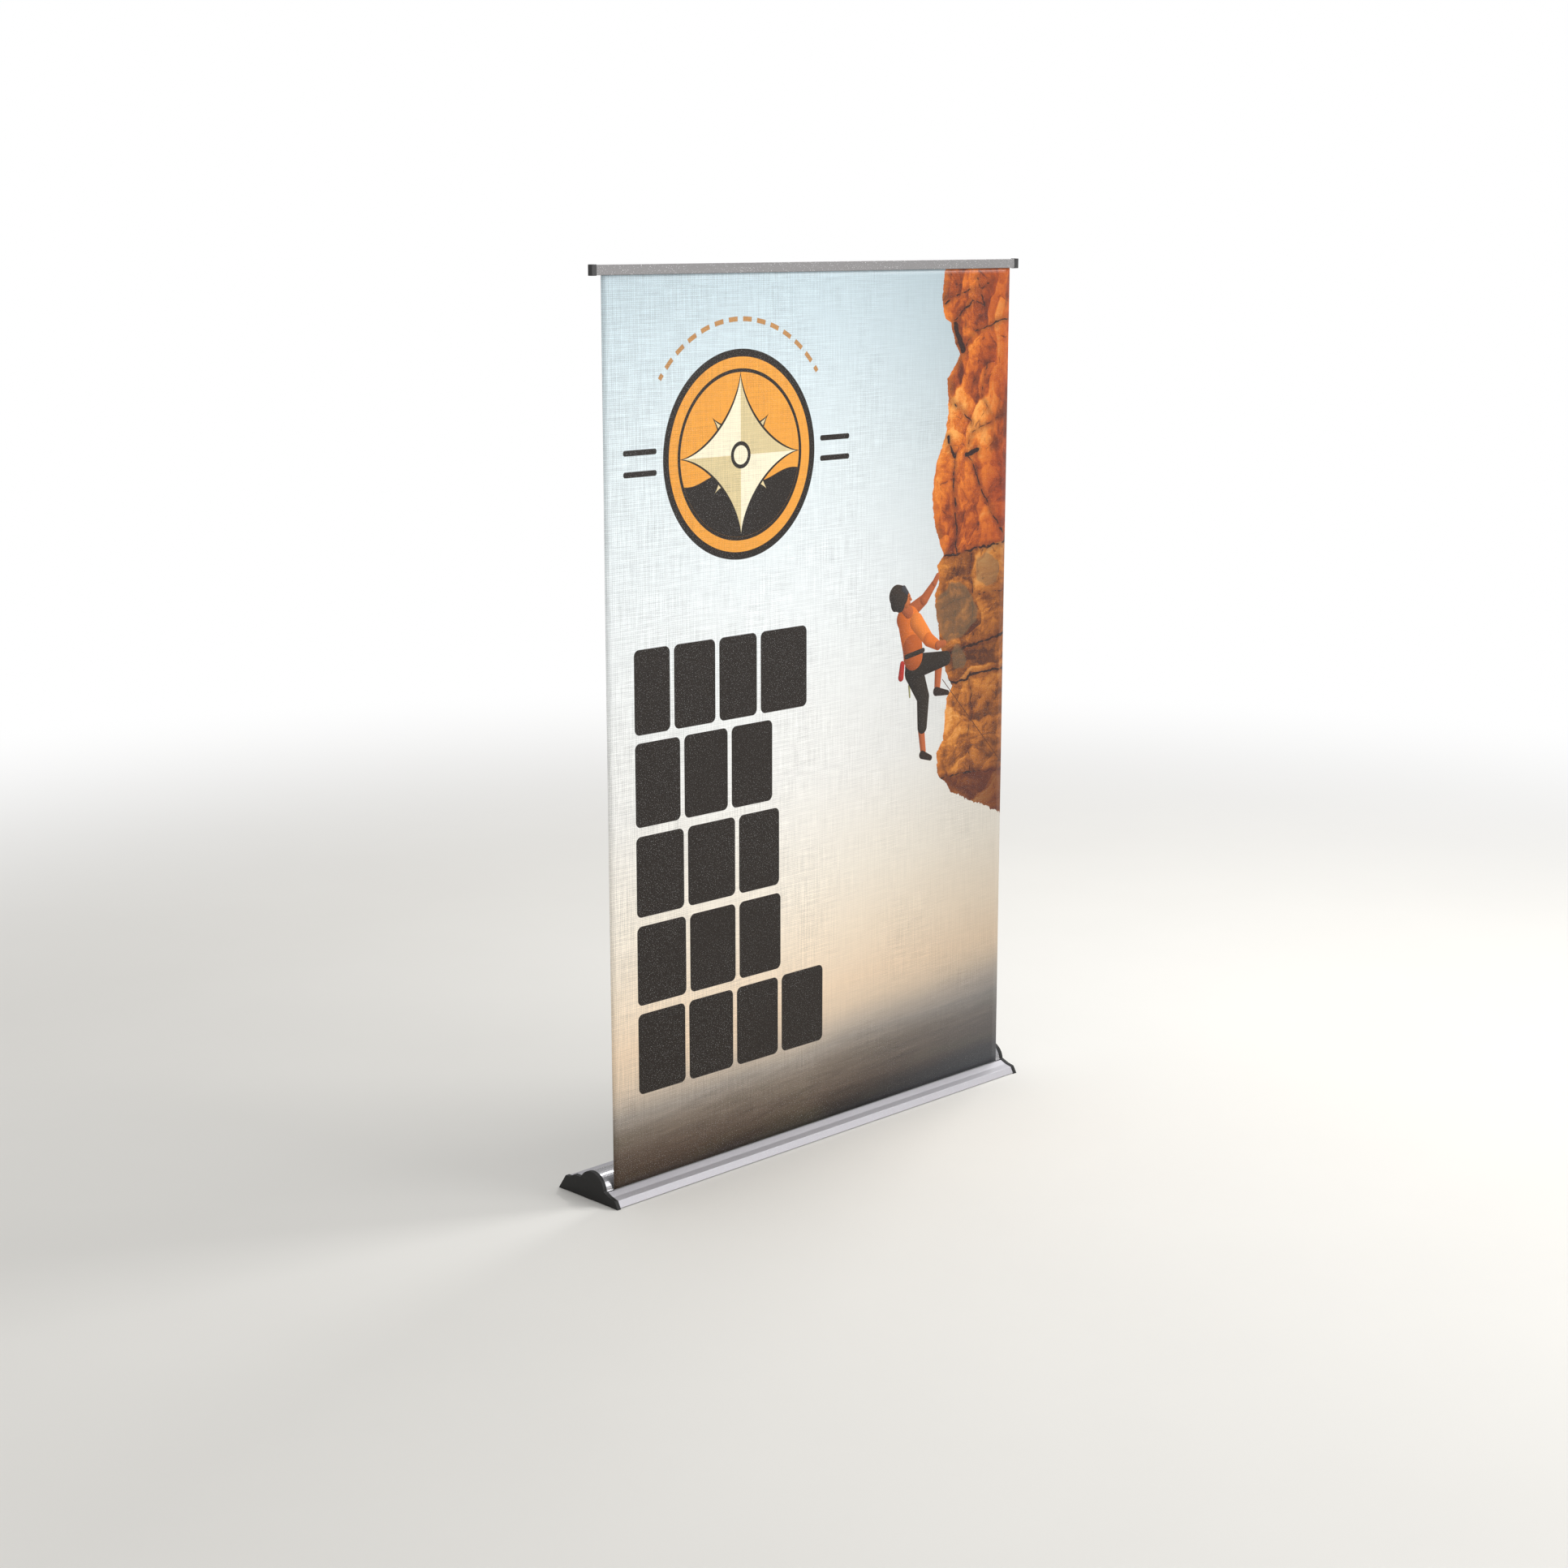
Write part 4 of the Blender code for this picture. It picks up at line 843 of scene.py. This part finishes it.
CLIMBER = [
    ((0.483, 1.190), (0.735, 0.925), (0.0012, 0.0012), ROPE),
    ((0.319, 1.252), (0.314, 1.216), (0.009, 0.011), CHALK_BAG),
    ((0.347, 1.190), (0.350, 1.158), (0.004, 0.003), KIT),
    ((0.358, 1.396), (0.404, 1.420), (0.021, 0.016), SKIN),
    ((0.404, 1.420), (0.446, 1.462), (0.016, 0.010), SKIN),
    ((0.446, 1.462), (0.458, 1.480), (0.010, 0.008), SKIN),
    ((0.398, 1.061), (0.407, 1.000), (0.013, 0.011), SKIN),
    ((0.403, 0.990), (0.436, 0.977), (0.012, 0.008), SHOE),
    ((0.466, 1.225), (0.462, 1.172), (0.015, 0.012), SKIN),
    ((0.458, 1.160), (0.505, 1.151), (0.013, 0.007), SHOE),
    ((0.366, 1.226), (0.404, 1.151), (0.037, 0.025), TROUSERS),
    ((0.404, 1.151), (0.402, 1.068), (0.025, 0.019), TROUSERS),
    ((0.366, 1.240), (0.496, 1.248), (0.036, 0.021), TROUSERS),
    ((0.326, 1.374), (0.340, 1.366), (0.031, 0.030), JACKET_BACK),
    ((0.344, 1.366), (0.360, 1.290), (0.043, 0.039), JACKET),
    ((0.360, 1.290), (0.362, 1.268), (0.039, 0.038), JACKET_HEM),
    ((0.374, 1.362), (0.424, 1.308), (0.026, 0.020), SLEEVE),
    ((0.424, 1.308), (0.462, 1.288), (0.020, 0.014), JACKET),
    ((0.462, 1.288), (0.488, 1.291), (0.012, 0.009), SKIN),
    ((0.334, 1.270), (0.402, 1.281), (0.007, 0.007), HARNESS),
    ((0.328, 1.404), (0.342, 1.392), (0.017, 0.018), SKIN),
    ((0.331, 1.430), (0.334, 1.418), (0.019, 0.015), FACE),
    ((0.348, 1.428), (0.352, 1.425), (0.0045, 0.0035), FACE),
    ((0.3425, 1.4345), (0.3455, 1.4355), (0.0014, 0.0012), EYE),
    ((0.3440, 1.4120), (0.3475, 1.4128), (0.0012, 0.0010), MOUTH),
    ((0.296, 1.440), (0.309, 1.438), (0.031, 0.030), HELMET),
    ((0.297, 1.420), (0.306, 1.414), (0.026, 0.020), HELMET_BACK),
    ((0.322, 1.458), (0.336, 1.445), (0.009, 0.006), HELMET_RIM),
]


def climber(look, spot, picture):
    """A small figure on the cliff, drawn in rounded limbs."""
    figure, cover = JACKET, None
    for start, end, radii, tone in CLIMBER:
        share, beside = along_line(look, spot, start, end)
        radius = share * (radii[1] - radii[0]) + radii[0]
        gap = look.vector("LENGTH", beside)
        side = look.vector("DOT_PRODUCT", beside, LIMB_LIGHT)
        lit = (side - gap * 0.4) / radius * 0.5 + 0.6
        plain = colour(tone)
        dark = [level * loss for level, loss in zip(plain, LIMB_DARK)]
        bright = [min(level * gain, 1.0) for level, gain in zip(plain, LIMB_BRIGHT)]
        limb = look.mix(lit, (*dark, 1.0), (*bright, 1.0))
        mask = look.within(gap - radius, 0.0)
        figure = look.mix(mask, figure, limb)
        cover = mask if cover is None else look.calc("MAXIMUM", cover, mask)
    return look.mix(cover, picture, figure)


def printed_front(name, layers):
    """Part of the banner's picture: the sky and the far land, with layers drawn over them."""
    look = Look(name)
    across, _, up = look.parts(look.place())
    spot = look.joined(across, up)
    haze = look.noise(look.joined(across * 1.5, up * 3.0), 1.0, 3.0, flat=True) - 0.5
    height = look.rise_straight(up + haze * 0.05 - across * 0.03, PRINT_FOOT, PRINT_TOP)
    picture = look.ramp(height, SKY)
    cool = look.rise(across, 0.0, 0.8) * look.rise(up, 0.9, 2.3) * 0.30
    picture = look.mix(cool, picture, SKY_COOL)
    picture = look.shaded(picture, 1.0 - look.rise(across, -0.25, 1.05) * 0.42)
    picture = far_land(look, across, up, picture)
    for layer in layers:
        picture = layer(look, spot, picture)
    return cloth_finish(look, picture, across, up)


def plain_back():
    """The banner's unprinted back: pale grey in soft clouds, with the weave."""
    look = Look("banner_back")
    across, _, up = look.parts(look.place())
    cloud = look.noise(look.joined(across, up), 3.0, 3.0, flat=True)
    base = look.mix(cloud, *BACK_TONES)
    return cloth_finish(look, base, across, up, BACK_ROUGHNESS, PLAIN_CONTRAST)


def cut_edge():
    """The cut edge of the cloth: white threads in a grey core."""
    look = Look("banner_cut_edge")
    across, _, up = look.parts(look.place())
    fray = look.noise(look.joined(across * 900.0, up * 900.0), 1.0, 2.0, flat=True)
    base = look.mix(look.rise(fray, 0.4, 0.7), *CUT_TONES)
    return cloth_finish(look, base, across, up, CUT_ROUGHNESS, PLAIN_CONTRAST)


# ---------------------------------------------------------------- cloth pieces


def new_piece(name, mesh):
    obj = bpy.data.objects.new(name, mesh)
    bpy.context.scene.collection.objects.link(obj)
    return obj


def sheet_grid(name, low, high, y):
    """A flat upright sheet facing -Y, with slightly curled edges and a faint ripple."""
    mesh = bpy.data.meshes.new(name)
    shape = bmesh.new()
    width, height = high.x - low.x, high.z - low.z
    rows = []
    for row in range(SHEET_ROWS + 1):
        up = row / SHEET_ROWS
        held = math.sin(math.pi * up)
        line = []
        for column in range(SHEET_COLUMNS + 1):
            side = 2 * column / SHEET_COLUMNS - 1
            curl = EDGE_CURL * side**CURL_POWER * held
            slanted = math.sin(RIPPLE_SPREAD * side + RIPPLE_SLANT * up)
            ripple = RIPPLE * slanted * math.sin(RIPPLE_WAVES * math.pi * up) * held
            place = (low.x + width * (side + 1) / 2, y + curl + ripple, low.z + height * up)
            line.append(shape.verts.new(place))
        rows.append(line)
    for below, above in zip(rows, rows[1:]):
        for i in range(SHEET_COLUMNS):
            face = shape.faces.new((below[i], below[i + 1], above[i + 1], above[i]))
            face.material_index = int(i >= PRINT_SPLIT)
    shape.to_mesh(mesh)
    shape.free()
    mesh.shade_smooth()
    return mesh


def thicken(obj, thickness):
    """Gives a sheet its thickness: the print in front, the back behind, the cut edge between."""
    solid = obj.modifiers.new("Thickness", "SOLIDIFY")
    solid.thickness = thickness
    solid.offset = 0.0
    solid.material_offset = BACK_SLOT
    solid.material_offset_rim = EDGE_SLOT
    graph = bpy.context.evaluated_depsgraph_get()
    mesh = bpy.data.meshes.new_from_object(obj.evaluated_get(graph))
    obj.modifiers.clear()
    obj.data = mesh


def ribbon(name, path, thickness, low_x, high_x):
    """A band of cloth along X, following a path of (Y, Z) points."""
    left = []
    right = []
    for i, point in enumerate(path):
        before, after = path[max(i - 1, 0)], path[min(i + 1, len(path) - 1)]
        along = (after - before).normalized()
        aside = Vector((-along.y, along.x)) * thickness / 2
        left.append(point + aside)
        right.append(point - aside)
    outline = left + right[::-1]
    mesh = bpy.data.meshes.new(name)
    shape = bmesh.new()
    ends = [[shape.verts.new((x, *corner)) for corner in outline] for x in (low_x, high_x)]
    count, half = len(outline), len(path)
    for i in range(count):
        face = shape.faces.new((ends[0][i], ends[1][i], ends[1][(i + 1) % count], ends[0][(i + 1) % count]))
        face.smooth = True
    for end in ends:
        for i in range(half - 1):
            shape.faces.new((end[i], end[i + 1], end[count - 2 - i], end[count - 1 - i]))
    bmesh.ops.recalc_face_normals(shape, faces=shape.faces)
    shape.to_mesh(mesh)
    shape.free()
    mesh.set_sharp_from_angle(angle=SHARP_ANGLE)
    return new_piece(name, mesh)


def path_length(path):
    return sum((b - a).length for a, b in zip(path, path[1:]))


def point_on_circle(centre, angle, radius):
    return centre + Vector((math.cos(angle), math.sin(angle))) * radius


def make_sheet(low, high, slot_z, materials):
    """The banner that shows, from the slot to the rail."""
    y = low.y
    bottom = Vector((low.x, y, slot_z + JOIN_GAP))
    sheet = new_piece("banner", sheet_grid("banner", bottom, high, y))
    for material in materials:
        sheet.data.materials.append(material)
    thicken(sheet, SHEET_THICKNESS)
    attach(sheet, "pole_top")
    axis = Vector(JOINTS["pole_extension"]["axis"])
    travel = sum(-JOINTS[name]["range_m"][0] for name in ("pole_extension", "pole_top_extension"))
    drawn = (high.z - slot_z) * axis.z
    1 - travel / drawn
    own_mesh(sheet)
    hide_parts("banner_sheet")


def make_feed(low, high, nose, roll, roll_radius, back):
    """The hidden run of cloth: straight from the roll, then round the nose of the slot."""
    turn = nose.x - low.y
    wind = roll_radius + ROLL_GAP + FEED_THICKNESS / 2
    reach = roll - nose
    slope = math.atan2(reach.y, reach.x) - math.asin((wind - turn) / reach.length)
    path = [roll + Vector((math.sin(slope), -math.cos(slope))) * wind]
    for i in range(TURN_STEPS + 1):
        angle = 1.5 * math.pi + slope - (0.5 * math.pi + slope) * i / TURN_STEPS
        path.append(point_on_circle(nose, angle, turn))
    feed = ribbon("banner_feed", path, FEED_THICKNESS, low.x, high.x)
    feed.data.materials.append(back)
    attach(feed, "base")
    path_length(path)


def make_roll(low, high, roll, roll_radius, back):
    """The turns of banner that stay on the roller."""
    core_low, core_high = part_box("roller_tube")
    core_radius = (core_high.z - core_low.z) / 2
    pitch = (roll_radius - core_radius - 2 * ROLL_GAP) / (ROLL_TURNS + 1)
    spiral = []
    for i in range(ROLL_TURNS * ROLL_STEPS + 1):
        turns = i / ROLL_STEPS
        radius = core_radius + ROLL_GAP + pitch * (turns + 0.5)
        spiral.append(point_on_circle(roll, 2 * math.pi * turns - math.pi / 2, radius))
    wound = ribbon("banner_wound", spiral, pitch * ROLL_FILL, low.x, high.x)
    wound.data.materials.append(back)
    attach(wound, "roller")
    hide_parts("banner_roll")
    path_length(spiral)


def make_banner(fronts, back, edge):
    """The banner in three pieces: the part that shows, the run to the roller and the roll."""
    low, high = (Vector(corner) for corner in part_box("banner_sheet"))
    cover_low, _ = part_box("hump_cover")
    roll_low, roll_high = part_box("banner_roll")
    low.y = (low.y + cover_low.y) / 2
    nose = Vector((cover_low.y + NOSE_RADIUS, cover_low.z + NOSE_RADIUS))
    roll = Vector(((roll_low.y + roll_high.y) / 2, (roll_low.z + roll_high.z) / 2))
    roll_radius = (roll_high.z - roll_low.z) / 2
    make_sheet(low, high, nose.y, (*fronts, back, back, edge, edge))
    make_feed(low, high, nose, roll, roll_radius, back)
    make_roll(low, high, roll, roll_radius, back)


# ---------------------------------------------------------------- finishes of the CAD nodes


def give(material, *names):
    for name in names:
        node = NODES[name]
        node.data.materials.clear()
        node.data.materials.append(material)


def both(start):
    """The names of the left and the right node."""
    return [start + side for side in ("left", "right")]


def finish_nodes():
    give(anodised("base_aluminium", "BDBBC0", 0.48, 0.45), "base_extrusion")
    give(anodised("cover_aluminium", "B4B3B6", 0.26, 0.85, 0.12), "hump_cover")
    give(anodised("rail_aluminium", "868484", 0.52, 0.40, 0.60), "top_rail")
    give(
        anodised("pole_aluminium", "B2B2B4", 0.28, 0.85, 0.10),
        "pole_lower_tube",
        "pole_middle_tube",
        "pole_top_tube",
    )
    give(anodised("roller_aluminium", "A5A5A6", 0.42), "roller_tube")
    give(moulded("cap_plastic", "0D0C0B", 0.55), *both("end_cap_"))
    give(moulded("rail_cap_plastic", "2E2D2D", 0.45), *both("rail_cap_"))
    give(
        moulded("fitting_plastic", "1B1B1C", 0.42, COARSE_TEXTURE),
        "pole_socket",
        "pole_foot_plug",
        "middle_tube_plug",
        "top_tube_plug",
        "lower_clamp_collar",
        "upper_clamp_collar",
        "pole_head",
    )
    give(
        moulded("lever_plastic", "39393B", 0.38, COARSE_TEXTURE, rub_and_highlight="7A7A7C"),
        "lower_clamp_lever",
        "upper_clamp_lever",
    )
    give(
        moulded("drive_plastic", "8A8A8C", 0.50, 900.0, rub_and_highlight="B0B0B0"),
        "spring_hub",
        "spring_anchor",
        *both("roller_plug_"),
    )
    give(moulded("hem_plastic", "B8B8B8", 0.45, 900.0, rub_and_highlight="D0D0D0"), "banner_hem_strip")
    steel = plated("steel", "A8A8AC", 0.30)
    give(steel, "idler_pin", "spring_spindle", "lower_lever_pin", "upper_lever_pin", *both("end_plate_"))
    for place in ("toe", "heel", "top"):
        give(steel, *both(place + "_screw_"))
    give(oiled_spring("spring_steel"), "torsion_spring")
    for end in ("front", "rear"):
        give(rubber("foot_rubber_" + end), *both("rubber_foot_" + end + "_"))


# ---------------------------------------------------------------- stage


def make_floor():
    """A plain pale floor that fades into the background far from the stand."""
    mesh = bpy.data.meshes.new("floor")
    shape = bmesh.new()
    bmesh.ops.create_circle(shape, cap_ends=True, radius=FLOOR_RADIUS, segments=96)
    shape.to_mesh(mesh)
    shape.free()
    floor = new_piece("floor", mesh)
    floor.location.z = -FLOOR_DROP
    look = Look("floor")
    place = look.place()
    cloud = look.noise(place, 0.9, 4.0, 0.6)
    base = look.mix(cloud, *FLOOR_TONES)
    look.set(Base_Color=base, Roughness=0.7)
    away = look.rise(look.vector("LENGTH", place), *FLOOR_FADE)
    glow = look.node("Emission", [("Color", (*BACKGROUND, 1.0)), ("Strength", BACKGROUND_STRENGTH)])
    blend = look.node("MixShader")
    look.plug(away, blend.inputs[0])
    look.tree.links.new(look.shader.outputs[0], blend.inputs[1])
    look.tree.links.new(glow.outputs[0], blend.inputs[2])
    output = look.tree.nodes["Material Output"]
    look.tree.links.new(blend.outputs[0], output.inputs["Surface"])
    floor.data.materials.append(look.material)


def make_world():
    """A white backdrop, whose light on the stand is softer and falls off towards the horizon."""
    world = bpy.data.worlds.new("studio")
    world.use_nodes = True
    tree = world.node_tree
    shown = tree.nodes["Background"]
    shown.inputs["Color"].default_value = (*BACKGROUND, 1.0)
    shown.inputs["Strength"].default_value = BACKGROUND_STRENGTH
    spot = tree.nodes.new("ShaderNodeTexCoord")
    height = tree.nodes.new("ShaderNodeSeparateXYZ")
    tree.links.new(spot.outputs["Generated"], height.inputs[0])
    band = tree.nodes.new("ShaderNodeValToRGB")
    tree.links.new(height.outputs["Z"], band.inputs[0])
    for element, level in zip(band.color_ramp.elements, ROOM_LIGHT):
        element.color = (level, level, level, 1.0)
    band.color_ramp.elements[1].position = ROOM_LIGHT_RISE
    cast = tree.nodes.new("ShaderNodeBackground")
    tree.links.new(band.outputs[0], cast.inputs["Color"])
    choice = tree.nodes.new("ShaderNodeMixShader")
    tree.links.new(tree.nodes.new("ShaderNodeLightPath").outputs["Is Camera Ray"], choice.inputs[0])
    tree.links.new(cast.outputs[0], choice.inputs[1])
    tree.links.new(shown.outputs[0], choice.inputs[2])
    tree.links.new(choice.outputs[0], tree.nodes["World Output"].inputs["Surface"])
    bpy.context.scene.world = world
    bpy.context.scene.view_settings.view_transform = "Standard"


def area_light(name, place, target, size, power):
    data = bpy.data.lights.new(name, "AREA")
    data.shape = "RECTANGLE"
    data.size, data.size_y = size
    data.energy = power
    light = new_piece(name, data)
    light.location = place
    light.rotation_euler = (Vector(target) - Vector(place)).to_track_quat("-Z", "Y").to_euler()


def make_camera():
    data = bpy.data.cameras.new("camera")
    data.lens = CAMERA_LENS
    data.sensor_width = CAMERA_SENSOR
    data.dof.use_dof = False
    camera = new_piece("camera", data)
    camera.location = CAMERA_PLACE
    camera.rotation_euler = CAMERA_TURN
    bpy.context.scene.camera = camera


make_camera()
make_world()
make_floor()
for name, settings in SOFTBOXES.items():
    area_light(name, *settings)
finish_nodes()
fronts = [printed_front("print_left", [emblem, headline]), printed_front("print_right", [cliff, climber])]
make_banner(fronts, plain_back(), cut_edge())
